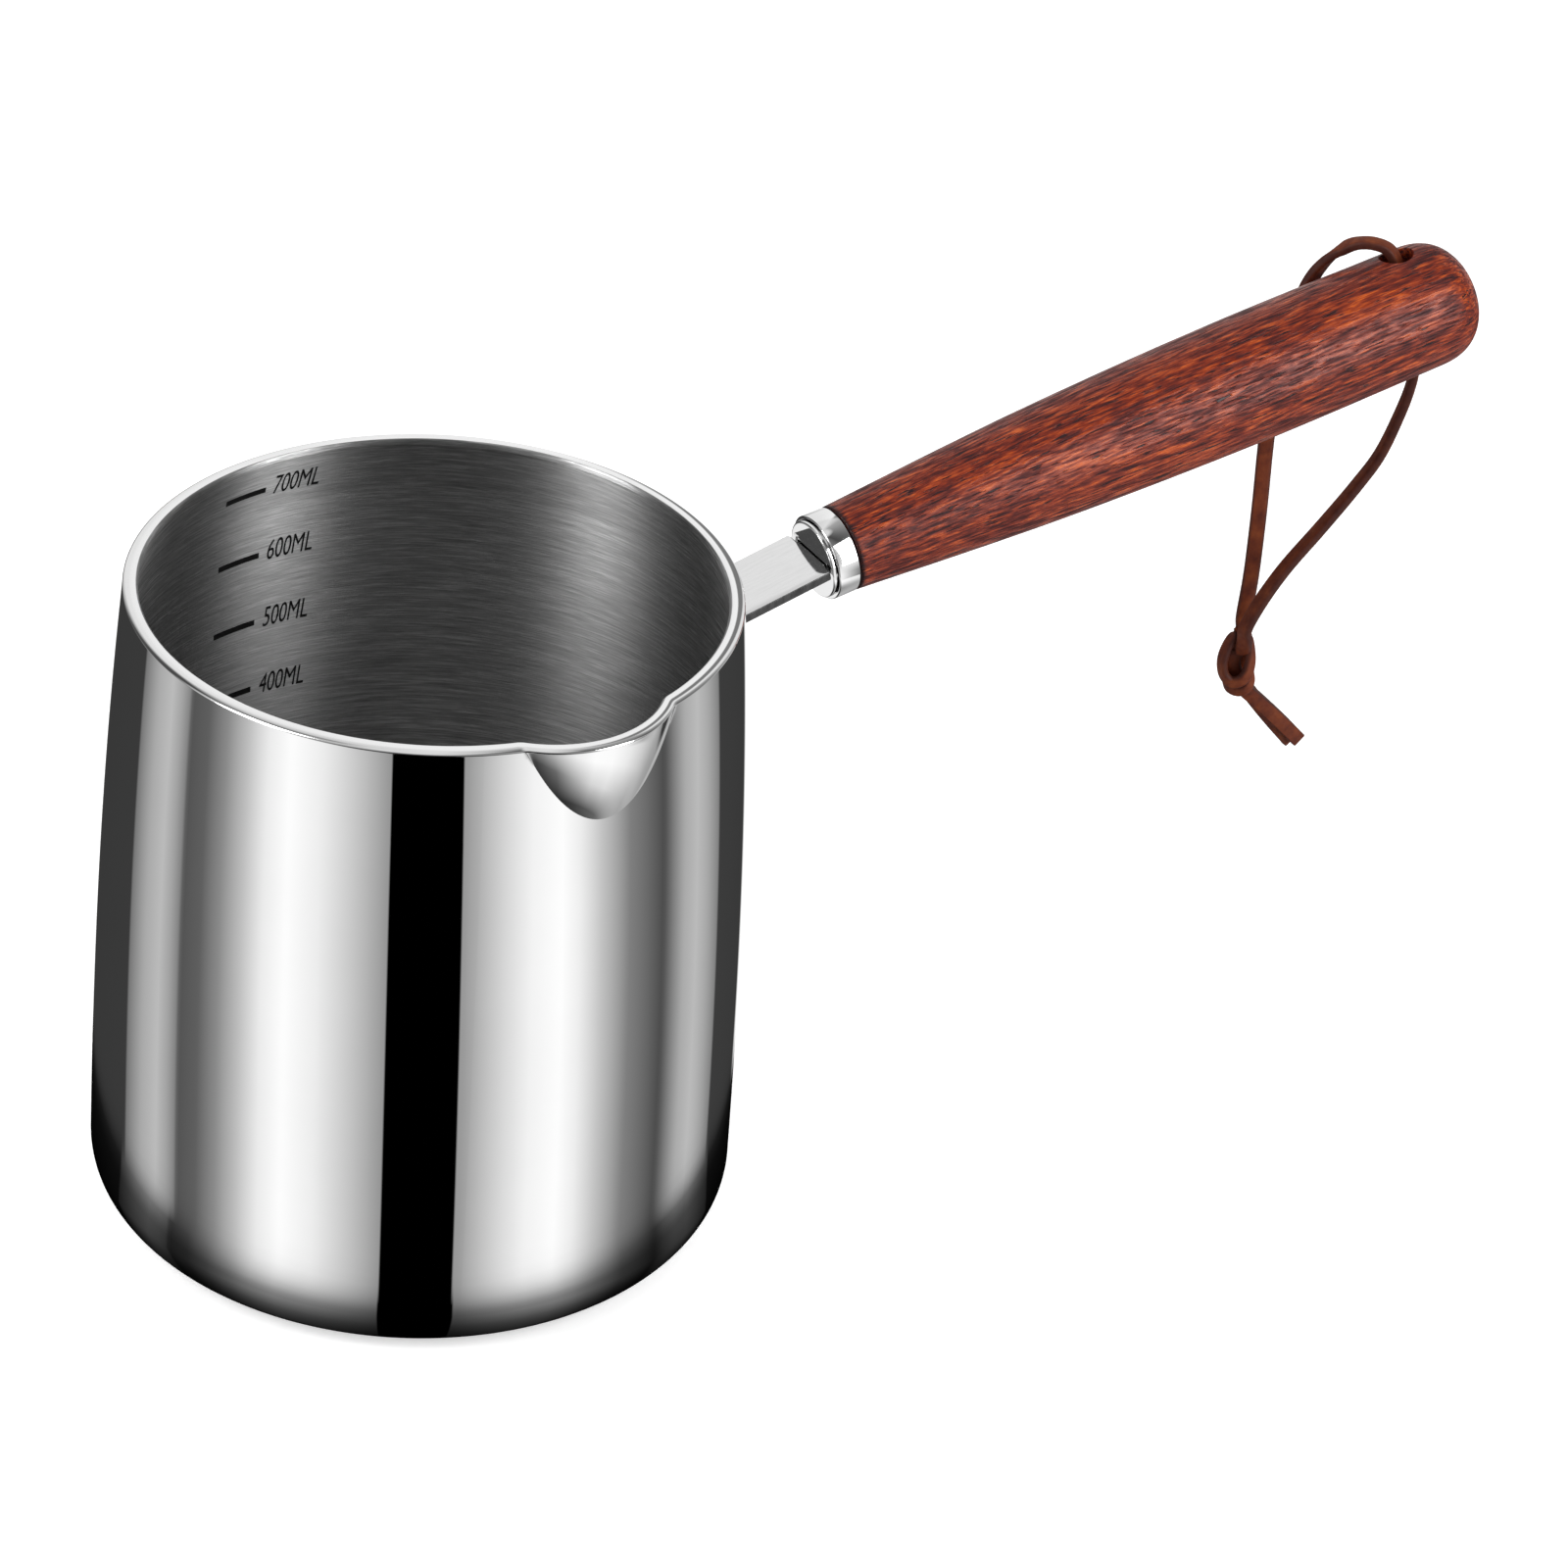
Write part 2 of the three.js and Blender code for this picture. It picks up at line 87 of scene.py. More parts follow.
# How far a ripple's crest lags behind at the bead's outer side
WELD_LAG = 0.35
# Share of the bead over which each end tapers, and its leg at the very end
WELD_TAPER = 0.06
WELD_END_LEG = 0.45

# Ferrule and grip, along the handle line
BOSS_RADIUS = 6.3
BOSS_LENGTH = 0.8
RING_RADIUS = 6.9
RING_LENGTH = 3.7
FERRULE_EDGE = 0.2
FERRULE_BACK_EDGE = 0.15
FERRULE_FRONT_WALL = 2.6
FERRULE_SIDE_WALL = 1.6
FERRULE_GROOVE_WIDTH = 0.25
FERRULE_GROOVE_DEPTH = 0.6
SLOT_CUTTER_PAST = (2.0, 1.0)
GRIP_LENGTH = 117.5
GRIP_FRONT_RADIUS = 6.9
GRIP_SHOULDER_RADIUS = 9.15
GRIP_SHOULDER_AT = 36.5
GRIP_PALM_RADIUS = 10.2
GRIP_PALM_AT = 73.0
GRIP_END_RADIUS = 10.1
GRIP_FRONT_EDGE = 0.4
GRIP_BORE = 4.7
GRIP_BORE_DEPTH = 28.0
TIP_LENGTH = 9.0
TIP_POWER = 2.6
HOLE_SETBACK = 11.0
HOLE_RADIUS = 2.7
HOLE_ROLL = math.radians(12)
HOLE_FLARE = 0.2
HOLE_FLARE_FROM = 8.7

# Lace
LACE_WIDTH = 2.6
LACE_THICKNESS = 1.5
LACE_CORNER = 0.5
# Share of a strip's half width from which its cut edge darkens
CUT_EDGE_FROM = 0.6
TAIL_WIDTH = 2.5
TAIL_THICKNESS = 1.3

# Steps of the meshes
BASE_RINGS = (0.3, 0.6, 0.9)
CORNER_STEPS = 18
BARREL_ROWS = 36
LIP_ROWS = 30
RIM_STEPS = 26
INSIDE_LIP_ROWS = 48
INSIDE_STEPS = 14
FOOT_ROWS = 12
BEND_STEPS = 14
ARM_ROWS = 16
EDGE_STEPS = 3
STRAP_COLUMNS = 10
FERRULE_STEPS = 6
FERRULE_SEGMENTS = 128
WELD_ROWS = 90
WELD_STEPS = 8
GRIP_ROWS = 96
GRIP_EDGE_STEPS = 4
GRIP_SEGMENTS = 144
TIP_ROWS = 28
HOLE_ROWS = 30
HOLE_ROW_HEIGHT = 0.45
HOLE_SEGMENTS = 64
RUN_STEPS = 8
KNOT_STEPS = 7
TAIL_STEPS = 6
# Angles in degrees past which an edge stays sharp
SHARP = 35.0
SHARP_PAN = 16.0
SHARP_MARKS = 30.0
SHARP_SOFT = 50.0

BOSS_FRONT = BRACKET_REACH + GAP
RING_FRONT = BOSS_FRONT + BOSS_LENGTH
RING_BACK = RING_FRONT + RING_LENGTH
CAVITY_FLOOR = BOSS_FRONT + FERRULE_FRONT_WALL
GRIP_FRONT = RING_BACK + GAP
GRIP_TIP = GRIP_FRONT + GRIP_LENGTH
HOLE_AT = GRIP_TIP - HOLE_SETBACK


def clamp(value, low, high):
    return max(low, min(high, value))


def wall_radius(height):
    """Outside radius of the pan's wall at a height, without the pouring lip."""
    rise = clamp((height - BOTTOM_CORNER) / (PAN_HEIGHT - BOTTOM_CORNER), 0, 1)
    return BELLY_RADIUS - (BELLY_RADIUS - RIM_RADIUS) * rise**BARREL_POWER


def wall_thickness(height):
    """Thickness of the pan's wall at a height, which grows towards the rim."""
    share = clamp((height - PAN_HEIGHT + RIM_TAPER) / RIM_TAPER, 0, 1)
    return WALL + (RIM_WIDTH - WALL) * share


def spout_across(angle):
    """Place across the pouring lip of an angle in degrees, -1 and 1 at its two ends."""
    return ((angle - SPOUT_ANGLE + 180) % 360 - 180) / SPOUT_HALF_ANGLE


def spout_push(angle, height):
    """How far the pouring lip is pressed out at an angle in degrees and a height, softer at the rim."""
    below = (PAN_HEIGHT - height) / SPOUT_DEPTH
    bulge = 1 + SPOUT_BULGE * clamp(below, 0, 1)
    push = SPOUT_REACH * (1 - below - spout_across(angle) ** 2) * bulge
    soft = SPOUT_SOFTNESS * clamp(1 - (PAN_HEIGHT - height) / SPOUT_SOFT_ZONE, SPOUT_LEAST_SOFT, 1)
    share = clamp(0.5 + 0.5 * push / soft, 0, 1)
    return push * share + soft * share * (1 - share)


def tilted(tilt):
    """Directions along and over a line that rises towards +X."""
    return Vector((math.cos(tilt), 0, math.sin(tilt))), Vector((-math.sin(tilt), 0, math.cos(tilt)))


HANDLE_HEIGHT = PAN_HEIGHT - HANDLE_DROP
HANDLE_START = wall_radius(HANDLE_HEIGHT)
ACROSS = Vector((0, 1, 0))
ALONG, OVER = tilted(HANDLE_TILT)
STRAP_ALONG, STRAP_OVER = tilted(STRAP_TILT)
HOLE_UP = ACROSS * math.sin(HOLE_ROLL) + OVER * math.cos(HOLE_ROLL)
HOLE_SIDE = ACROSS * math.cos(HOLE_ROLL) - OVER * math.sin(HOLE_ROLL)


def handle_point(along, across=0.0, over=0.0):
    """A point given along, across and above the handle line."""
    start = Vector((HANDLE_START, 0, HANDLE_HEIGHT))
    return start + along * ALONG + across * ACROSS + over * OVER


def thong_point(along, across, over):
    """A point given from the middle of the hanging hole."""
    return handle_point(HOLE_AT + along, across, over)


def round_point(radius, angle, z):
    """A point at a distance from the pan's axis, an angle in degrees and a height."""
    turn = math.radians(angle)
    return Vector((radius * math.cos(turn), radius * math.sin(turn), z))


# Mesh helpers
def arc(centre_x, centre_y, radius_x, radius_y, start, end, steps):
    """Points of an arc of an ellipse, from one angle in degrees to another."""
    points = []
    for i in range(steps + 1):
        angle = math.radians(start + (end - start) * i / steps)
        points.append((centre_x + radius_x * math.cos(angle), centre_y + radius_y * math.sin(angle)))
    return points


def between(start, end, count):
    """Evenly spaced values after start, up to end."""
    return [start + (end - start) * (i + 1) / count for i in range(count)]


def full_turn(count):
    """Evenly spaced angles in radians, once round."""
    return [2 * math.pi * i / count for i in range(count)]


def loft(rings):
    """Vertices and faces through rings of points: one point is a pole, and open ends are filled."""
    vertices = [point for ring in rings for point in ring]
    starts = [0]
    for ring in rings:
        starts.append(starts[-1] + len(ring))
    faces = []
    count = max(len(ring) for ring in rings)
    for row in range(len(rings) - 1):
        low, high = starts[row : row + 2]
        for i in range(count):
            j = (i + 1) % count
            if len(rings[row]) == 1:
                faces.append((low, high + i, high + j))
            elif len(rings[row + 1]) == 1:
                faces.append((low + i, high, low + j))
            else:
                faces.append((low + i, high + i, high + j, low + j))
    for row in (0, len(rings) - 1):
        if len(rings[row]) > 1:
            faces.append(tuple(range(starts[row], starts[row] + count)))
    return vertices, faces


def joined(shapes):
    """Vertices and faces of several shapes together."""
    vertices = []
    faces = []
    for points, sides in shapes:
        faces += [tuple(i + len(vertices) for i in face) for face in sides]
        vertices += points
    return vertices, faces


def shade_smooth(mesh, sharp):
    """Shades faces smooth up to an angle in degrees."""
    mesh.shade_smooth()
    mesh.set_sharp_from_angle(angle=math.radians(sharp))


def add(name, data):
    """A new object in the scene."""
    thing = bpy.data.objects.new(name, data)
    bpy.context.scene.collection.objects.link(thing)
    return thing


def evaluated_mesh(thing):
    """A mesh of an object as its modifiers or curves make it."""
    graph = bpy.context.evaluated_depsgraph_get()
    return bpy.data.meshes.new_from_object(thing.evaluated_get(graph))


def mesh_piece(name, shape, materials, sharp=SHARP):
    """A smooth-shaded object from vertices in millimetres and faces, turned outwards."""
    vertices, faces = shape
    mesh = bpy.data.meshes.new(name)
    mesh.from_pydata([Vector(point) * MM for point in vertices], [], faces)
    for material in materials:
        mesh.materials.append(material)
    work = bmesh.new()
    work.from_mesh(mesh)
    bmesh.ops.recalc_face_normals(work, faces=work.faces)
    work.to_mesh(mesh)
    work.free()
    shade_smooth(mesh, sharp)
    return add(name, mesh)


def paint(piece, indices):
    """Sets each face's material index."""
    piece.data.polygons.foreach_set("material_index", indices)
    piece.data.update()


def cut(piece, rings):
    """Takes a lofted shape out of a piece."""
    cutter = mesh_piece("cutter", loft(rings), [])
    modifier = piece.modifiers.new("cut", "BOOLEAN")
    modifier.operation = "DIFFERENCE"
    modifier.solver = "EXACT"
    modifier.object = cutter
    mesh = evaluated_mesh(piece)
    piece.modifiers.clear()
    piece.data = mesh
    shade_smooth(mesh, SHARP)
    bpy.data.objects.remove(cutter)


def turned_rings(profile, segments):
    """Rings about the handle line, from points of (radius, distance along it)."""
    rings = []
    for radius, along in profile:
        if radius == 0:
            rings.append([handle_point(along)])
            continue
        turns = full_turn(segments)
        rings.append([handle_point(along, radius * math.cos(t), radius * math.sin(t)) for t in turns])
    return rings


def rounded_rectangle(width, height, corner):
    """A ring of points of a rectangle with rounded corners, about its middle."""
    x = width / 2 - corner
    y = height / 2 - corner
    ring = []
    for centre, start in (((x, y), 0), ((-x, y), 90), ((-x, -y), 180), ((x, -y), 270)):
        ring += arc(centre[0], centre[1], corner, corner, start, start + 90, EDGE_STEPS)
    return ring


def part_way(first, last, start, end, t):
    """A point on the line through two points, which stand at the values start and end."""
    return first.lerp(last, (t - start) / (end - start))


def smooth_path(points, per_span):
    """A centripetal Catmull-Rom curve through points."""
    points = [Vector(p) for p in points]
    points = [2 * points[0] - points[1], *points, 2 * points[-1] - points[-2]]
    path = []
    for p0, p1, p2, p3 in zip(points, points[1:], points[2:], points[3:]):
        t1 = (p1 - p0).length ** 0.5
        t2 = t1 + (p2 - p1).length ** 0.5
        t3 = t2 + (p3 - p2).length ** 0.5
        for i in range(per_span):
            t = t1 + (t2 - t1) * i / per_span
            middle = part_way(p1, p2, t1, t2, t)
            before = part_way(part_way(p0, p1, 0, t1, t), middle, 0, t2, t)
            after = part_way(middle, part_way(p2, p3, t2, t3, t), t1, t3, t)
            path.append(part_way(before, after, t1, t2, t))
    path.append(points[-2])
    return path


def tangents(path):
    """Directions along a path, at each of its points."""
    found = []
    for i in range(len(path)):
        before = path[max(i - 1, 0)]
        after = path[min(i + 1, len(path) - 1)]
        found.append((after - before).normalized())
    return found


def turned_normals(path, stops):
    """Normals of a strip along a path, between directions given at shares of its length."""
    found = []
    for i, tangent in enumerate(tangents(path)):
        share = i / (len(path) - 1)
        before = max((stop for stop in stops if stop[0] <= share), key=lambda stop: stop[0])
        after = min((stop for stop in stops if stop[0] >= share), key=lambda stop: stop[0])
        span = after[0] - before[0]
        normal = before[1].lerp(after[1], (share - before[0]) / span if span else 0)
        found.append((normal - tangent * normal.dot(tangent)).normalized())
    return found


def strip_rings(path, normals, width, thickness, corner):
    """Rings of a flat strip along a path, with its thickness along the normals."""
    section = rounded_rectangle(width, thickness, corner)
    rings = []
    for point, tangent, normal in zip(path, tangents(path), normals):
        side = tangent.cross(normal).normalized()
        rings.append([point + side * x + normal * y for x, y in section])
    return rings


# Node helpers
class Shader:
    """The nodes of a material or a world, with short ways to add them."""

    def __init__(self, owner):
        owner.use_nodes = True
        self.owner = owner
        self.nodes = owner.node_tree.nodes
        self.links = owner.node_tree.links

    def put(self, value, socket):
        """Links another node's output to a socket, or sets a constant."""
        if isinstance(value, bpy.types.NodeSocket):
            self.links.new(value, socket)
        else:
            socket.default_value = value

    def finish(self, **sockets):
        """Fills the sockets of the material's shader, and gives the material."""
        shader = self.nodes["Principled BSDF"]
        for name, value in sockets.items():
            self.put(value, shader.inputs[name.replace("_", " ")])
        return self.owner

    def node(self, kind, output, inputs=(), **settings):
        """Adds a node with its settings and inputs, and gives one of its outputs."""
        node = self.nodes.new(f"ShaderNode{kind}")
        for name, value in settings.items():
            setattr(node, name, value)
        for key, value in dict(inputs).items():
            self.put(value, node.inputs[key])
        return node.outputs[output]

    def place(self):
        return self.node("TexCoord", "Object")

    def mapped(self, vector, scale=(1, 1, 1), rotation=(0, 0, 0)):
        return self.node("Mapping", "Vector", {"Vector": vector, "Scale": scale, "Rotation": rotation})

    def noise(self, vector, scale, detail, roughness, distortion=0.0):
        names = ("Vector", "Scale", "Detail", "Roughness", "Distortion")
        return self.node("TexNoise", "Fac", zip(names, (vector, scale, detail, roughness, distortion)))

    def grain(self, vector, scale, *settings):
        """Noise with a scale of its own along each direction."""
        return self.noise(self.mapped(vector, scale), 1.0, *settings)

    def ramp(self, value, stops):
        """Colours or greys at given values, and those between them."""
        node = self.nodes.new("ShaderNodeValToRGB")
        elements = node.color_ramp.elements
        while len(elements) < len(stops):
            elements.new(0.5)
        for element, (position, colour) in zip(elements, stops):
            element.position = position
            element.color = (*colour, 1) if isinstance(colour, tuple) else (colour, colour, colour, 1)
        self.put(value, node.inputs["Fac"])
        return node.outputs["Color"]

    def math(self, operation, *values):
        return self.node("Math", "Value", enumerate(values), operation=operation)

    def weighted(self, *terms):
        """The sum of values, each times its weight."""
        total = 0.0
        for value, weight in terms:
            total = self.math("MULTIPLY_ADD", value, weight, total)
        return total

    def spread(self, value, low, high, to_low=0.0, to_high=1.0):
        """Maps a range of values to another range, clamped."""
        names = ("Value", "From Min", "From Max", "To Min", "To Max")
        return self.node("MapRange", "Result", zip(names, (value, low, high, to_low, to_high)))

    def mix(self, factor, first, second, blend="MIX"):
        """Mixes two colours, which are the node's inputs 6 and 7 and its output 2."""
        colours = [(*value, 1) if isinstance(value, tuple) else value for value in (first, second)]
        inputs = zip((0, 6, 7), (factor, *colours))
        return self.node("Mix", 2, inputs, data_type="RGBA", blend_type=blend)

    def bump(self, height, strength, distance):
        return self.node("Bump", "Normal", {"Height": height, "Strength": strength, "Distance": distance})

    def parts(self, vector):
        node = self.nodes.new("ShaderNodeSeparateXYZ")
        self.put(vector, node.inputs[0])
        return node.outputs

    def vector(self, *parts):
        return self.node("CombineXYZ", "Vector", enumerate(parts))


def material_tree(name):
    return Shader(bpy.data.materials.new(name))


# Share of the light that polished steel mirrors
STEEL_LIGHT = 0.92
# How fast a brushed pattern changes outwards from the pan's axis, against upwards
OUTWARD_SHARE = 0.33


def axis_distance(tree, x, y):
    """Distance from the pan's axis."""
    return tree.math("SQRT", tree.math("ADD", tree.math("MULTIPLY", x, x), tree.math("MULTIPLY", y, y)))


def round_place(tree):
    """Seamless places round the pan: the direction from its axis, and height with distance from it."""
    x, y, z = tree.parts(tree.place())
    radius = axis_distance(tree, x, y)
    level = tree.math("MULTIPLY_ADD", radius, OUTWARD_SHARE, z)
    return tree.vector(tree.math("DIVIDE", x, radius), tree.math("DIVIDE", y, radius), level)


def polished_steel(name, low, high, light=STEEL_LIGHT):
    """Mirror-polished steel with a faint haze, and a low and a high roughness."""
    tree = material_tree(name)
    haze = tree.noise(tree.place(), 60.0, 4.0, 0.6)
    wipes = tree.grain(round_place(tree), (3.0, 3.0, 900.0), 3.0, 0.6)
    return tree.finish(
        Metallic=1.0,
        Base_Color=tree.ramp(haze, [(0.3, light - 0.02), (0.7, light)]),
        Roughness=tree.spread(wipes, 0.3, 0.7, low, high),
    )


def brushed_inside_and_painted_shade():
    """Steel brushed round the pan's axis, with bright and dark scratches, in a grey kept darker than the
    polished steel's as painted shade for the dim inside of the pan.
    """
    tree = material_tree("steel_brushed_round_painted_shade")
    place = round_place(tree)
    fine = tree.grain(place, (8.0, 8.0, 4200.0), 3.0, 0.65)
    coarse = tree.grain(place, (4.0, 4.0, 1600.0), 3.0, 0.6)
    lines = tree.weighted((fine, 0.6), (coarse, 0.4))
    return tree.finish(
        Metallic=1.0,
        Anisotropic=0.93,
        Anisotropic_Rotation=0.25,
        Tangent=tree.node("Tangent", "Tangent", direction_type="RADIAL", axis="Z"),
        # The scratches are the brushing, and the low grey of the whole ramp is painted shade
        Base_Color=tree.ramp(lines, [(0.36, 0.27), (0.5, 0.41), (0.64, 0.68)]),
        Roughness=tree.spread(lines, 0.35, 0.65, 0.5, 0.38),
        Normal=tree.bump(lines, 0.7, 0.00012),
    )


def lined_metal(name, scale, tilt, shades, roughness, detail=3.0, softness=0.6):
    """Metal with fine lines: their scale and tilt, dark and light shade, and range of roughness."""
    tree = material_tree(name)
    lines = tree.noise(tree.mapped(tree.place(), scale, (0, tilt, 0)), 1.0, detail, softness)
    return tree.finish(
        Metallic=1.0,
        Base_Color=tree.ramp(lines, [(0.3, shades[0]), (0.7, shades[1])]),
        Roughness=tree.spread(lines, 0.3, 0.7, *roughness),
    )


def satin_steel():
    """Polished strap steel, with a faint grain along the strap."""
    return lined_metal("steel_satin", (90.0, 2200.0, 900.0), STRAP_TILT, (0.86, 0.92), (0.06, 0.11))


def sheared_steel_with_painted_shade():
    """The strap's cut sides: a rough sheared finish with fine lines across them, painted nearly black as
    painted shade.
    """
    return lined_metal("steel_sheared_painted_shade", (900.0, 200.0, 260.0), STRAP_TILT, (0.06, 0.13), (0.2, 0.35))


def hidden_metal(name, *shades):
    """Turned metal for the pieces inside the grip."""
    return lined_metal(name, (2600.0, 150.0, 150.0), HANDLE_TILT, shades, (0.28, 0.42), 2.0, 0.5)


def weld_steel():
    """Wire-brushed weld with a little heat colour."""
    tree = material_tree("steel_weld")
    tint = tree.noise(tree.place(), 420.0, 3.0, 0.6)
    heat = [(0.3, (0.42, 0.4, 0.38)), (0.5, (0.55, 0.52, 0.47)), (0.7, (0.46, 0.46, 0.5))]
    rough = tree.noise(tree.place(), 2400.0, 3.0, 0.6)
    return tree.finish(
        Metallic=1.0,
        Base_Color=tree.ramp(tint, heat),
        Roughness=tree.spread(rough, 0.3, 0.7, 0.3, 0.5),
        Normal=tree.bump(rough, 0.2, 0.00006),
    )


def etched_mark():
    """Dark marking on the inner wall."""
    tree = material_tree("etched_mark")
    worn = tree.noise(tree.place(), 2500.0, 3.0, 0.6)
    return tree.finish(
        Specular_IOR_Level=0.15,
        Base_Color=tree.ramp(worn, [(0.3, 0.004), (0.75, 0.014)]),
        Roughness=tree.spread(worn, 0.3, 0.7, 0.5, 0.7),
    )


# Colours of the wood from its darkest streaks to its lightest, of its pores, and of the painted shade at
# its front end next to the ferrule
WOOD_STOPS = [
    (0.39, (0.03, 0.004, 0.006)),
    (0.455, (0.095, 0.010, 0.006)),
    (0.505, (0.19, 0.021, 0.007)),
    (0.555, (0.33, 0.047, 0.011)),
    (0.62, (0.58, 0.11, 0.02)),
]
PORE_COLOUR = (0.02, 0.004, 0.006)
GAP_SHADE_COLOUR = (0.01, 0.003, 0.004)
# Distances from the front end over which the painted shade next to the ferrule fades out
GAP_SHADE_FADE = (0.3, 0.9)


def rosewood():
    """Oiled red-brown hardwood: broad figure, dense short streaks and dark open pores along the grip,
    with painted shade at its front end.
    """
    tree = material_tree("rosewood")
    place = tree.mapped(tree.place(), rotation=(0, HANDLE_TILT, 0))
    figure = tree.grain(place, (16.0, 110.0, 110.0), 3.0, 0.55, 0.4)
    broad = tree.grain(place, (85.0, 800.0, 800.0), 3.0, 0.6, 0.3)
    streaks = tree.grain(place, (190.0, 1700.0, 1700.0), 3.0, 0.6, 0.3)
    fibres = tree.grain(place, (300.0, 3400.0, 3400.0), 2.0, 0.6)
    pores = tree.grain(place, (260.0, 2600.0, 2600.0), 2.0, 0.5)
    wood = tree.weighted((streaks, 0.48), (broad, 0.15), (fibres, 0.25), (figure, 0.12))
    pore = tree.ramp(pores, [(0.6, 0.0), (0.67, 1.0)])
    colour = tree.mix(pore, tree.ramp(wood, WOOD_STOPS), PORE_COLOUR)
    # Painted shade: the wood darkens towards its front end, in the gap next to the ferrule
    front = Vector((HANDLE_START, 0, HANDLE_HEIGHT)).dot(ALONG) + GRIP_FRONT
    end = tree.spread(tree.parts(place)[0], *((front + away) * MM for away in GAP_SHADE_FADE), 0.9, 0.0)
    relief = tree.math("SUBTRACT", streaks, tree.math("MULTIPLY", pore, 0.6))
    return tree.finish(
        IOR=1.36,
        Base_Color=tree.mix(end, colour, GAP_SHADE_COLOUR),
        Roughness=tree.spread(streaks, 0.38, 0.62, 0.6, 0.26),
        Normal=tree.bump(relief, 0.8, 0.00016),
    )


def leather():
    """Red-brown lace leather, darker at its cut edges."""
    tree = material_tree("leather_lace")
    mottle = tree.noise(tree.place(), 420.0, 4.0, 0.6)
    browns = [(0.3, (0.085, 0.015, 0.006)), (0.5, (0.14, 0.027, 0.008)), (0.7, (0.2, 0.044, 0.011))]
    edge = tree.node("Attribute", "Fac", attribute_name="cut_edge")
    darker = tree.spread(edge, 0.1, 1.0, 0.0, 0.75)
    creases = tree.noise(tree.place(), 1700.0, 3.0, 0.6)
    return tree.finish(
        IOR=1.4,
        Specular_IOR_Level=0.35,
        Base_Color=tree.mix(darker, tree.ramp(mottle, browns), (0.03, 0.008, 0.007)),
        Roughness=tree.spread(creases, 0.3, 0.7, 0.5, 0.7),
        Normal=tree.bump(creases, 0.25, 0.0001),
    )


# Camera at the photograph's viewing angle
VIEW_TURN = math.radians(33.5)
VIEW_DOWN = math.radians(32.36)
VIEW_ROLL = math.radians(4.45)
CAMERA_PLACE = (-452.17, -781.09, 647.0)
FOCAL_PIXELS = 7206.0
FRAME_PIXELS = 1600.0
SENSOR = 36.0
CLIP = (0.05, 50.0)

LEVEL_FORWARD = Vector((math.sin(VIEW_TURN), math.cos(VIEW_TURN), 0))
LEVEL_RIGHT = Vector((math.cos(VIEW_TURN), -math.sin(VIEW_TURN), 0))
FORWARD = LEVEL_FORWARD * math.cos(VIEW_DOWN) - Vector((0, 0, math.sin(VIEW_DOWN)))


def make_camera():
    level_up = LEVEL_RIGHT.cross(FORWARD)
    right = LEVEL_RIGHT * math.cos(VIEW_ROLL) + level_up * math.sin(VIEW_ROLL)
    data = bpy.data.cameras.new("camera")
    data.sensor_width = SENSOR
    data.lens = SENSOR * FOCAL_PIXELS / FRAME_PIXELS
    data.clip_start, data.clip_end = CLIP
    camera = add("camera", data)
    turn = Matrix((right, right.cross(FORWARD), -FORWARD)).transposed()
    camera.matrix_world = Matrix.Translation(Vector(CAMERA_PLACE) * MM) @ turn.to_4x4()
    bpy.context.scene.camera = camera


make_camera()

# Leather thong: points of its two runs from the middle of the hanging hole
BACK_RUN = [
    (0, 0.05, 0.15), (0.2, 1.0, 4.8), (-0.1, 2.0, 8.8), (-1.0, 2.8, 11.0), (-3.0, 4.2, 12.2),
    (-4.9, 6.0, 12.0), (-6.4, 8.2, 10.3), (-8.2, 10.3, 7.6), (-10.1, 11.9, 3.8), (-13.3, 12.5, -3.3),
    (-17.3, 12.6, -13.2), (-20.45, 10.95, -22.9), (-23.85, 8.55, -33.2), (-27.8, 5.8, -43.2),
    (-31.0, 3.7, -49.4), (-31.05, 3.65, -50.8),
]
FRONT_RUN = [
    (0, -0.05, -0.15), (0, -1.0, -5.0), (0.1, -2.0, -9.6), (-1.0, -2.1, -13.2), (-3.4, -1.8, -18.4),
    (-6.9, -1.3, -24.4), (-11.2, -0.8, -28.8), (-17.7, -0.3, -34.2), (-25.1, 0.3, -40.1),
    (-30.1, 0.7, -45.4), (-32.5, 1.1, -49.4), (-32.55, 1.1, -50.8),
]
KNOT_MIDDLE = (-33.1, 2.6, -56.3)
KNOT_HALF_LENGTH = 5.2

# Directions square to OVER, for the hanging thong: to the picture's right, and towards the camera
RIGHTWARDS = (LEVEL_RIGHT - OVER * LEVEL_RIGHT.dot(OVER)).normalized()
FRONTWARDS = OVER.cross(RIGHTWARDS) * -1
# The side that the lace turns out as it bends over the grip: shares along the handle and across it
BEND_SHARES = (0.5, -0.6)
BENDING = (ALONG * BEND_SHARES[0] + ACROSS * BEND_SHARES[1]).normalized()
# Towards the camera, and past it to the upper left, which shows the strip's lower edge
LEFT_SHARE = 0.75
UP_SHARE = 0.55
LEFT_AND_UP = (LEVEL_RIGHT.cross(FORWARD) * UP_SHARE - LEVEL_RIGHT * LEFT_SHARE - FORWARD).normalized()

lace_leather = leather()


def mark_edges(piece, section_size, width):
    """Marks the narrow sides of each ring of a strip, where the leather was cut."""
    section = rounded_rectangle(width, TAIL_THICKNESS, LACE_CORNER)
    values = []
    for i in range(len(piece.data.vertices)):
        share = abs(section[i % section_size][0]) / (width / 2)
        values.append(clamp((share - CUT_EDGE_FROM) / (1 - CUT_EDGE_FROM), 0, 1))
    attribute = piece.data.attributes.new("cut_edge", "FLOAT", "POINT")
    attribute.data.foreach_set("value", values)


def lace_piece(name, node, strips, width):
    piece = mesh_piece(name, joined(loft(rings) for rings in strips), [lace_leather], SHARP_SOFT)
    mark_edges(piece, len(strips[0][0]), width)
    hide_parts(node)
    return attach(piece, "thong")


def knot_point(right, height, front):
    """A point from the knot's middle: to the picture's right, up the knot, and towards the camera."""
    return thong_point(*KNOT_MIDDLE) + RIGHTWARDS * right + OVER * height + FRONTWARDS * front


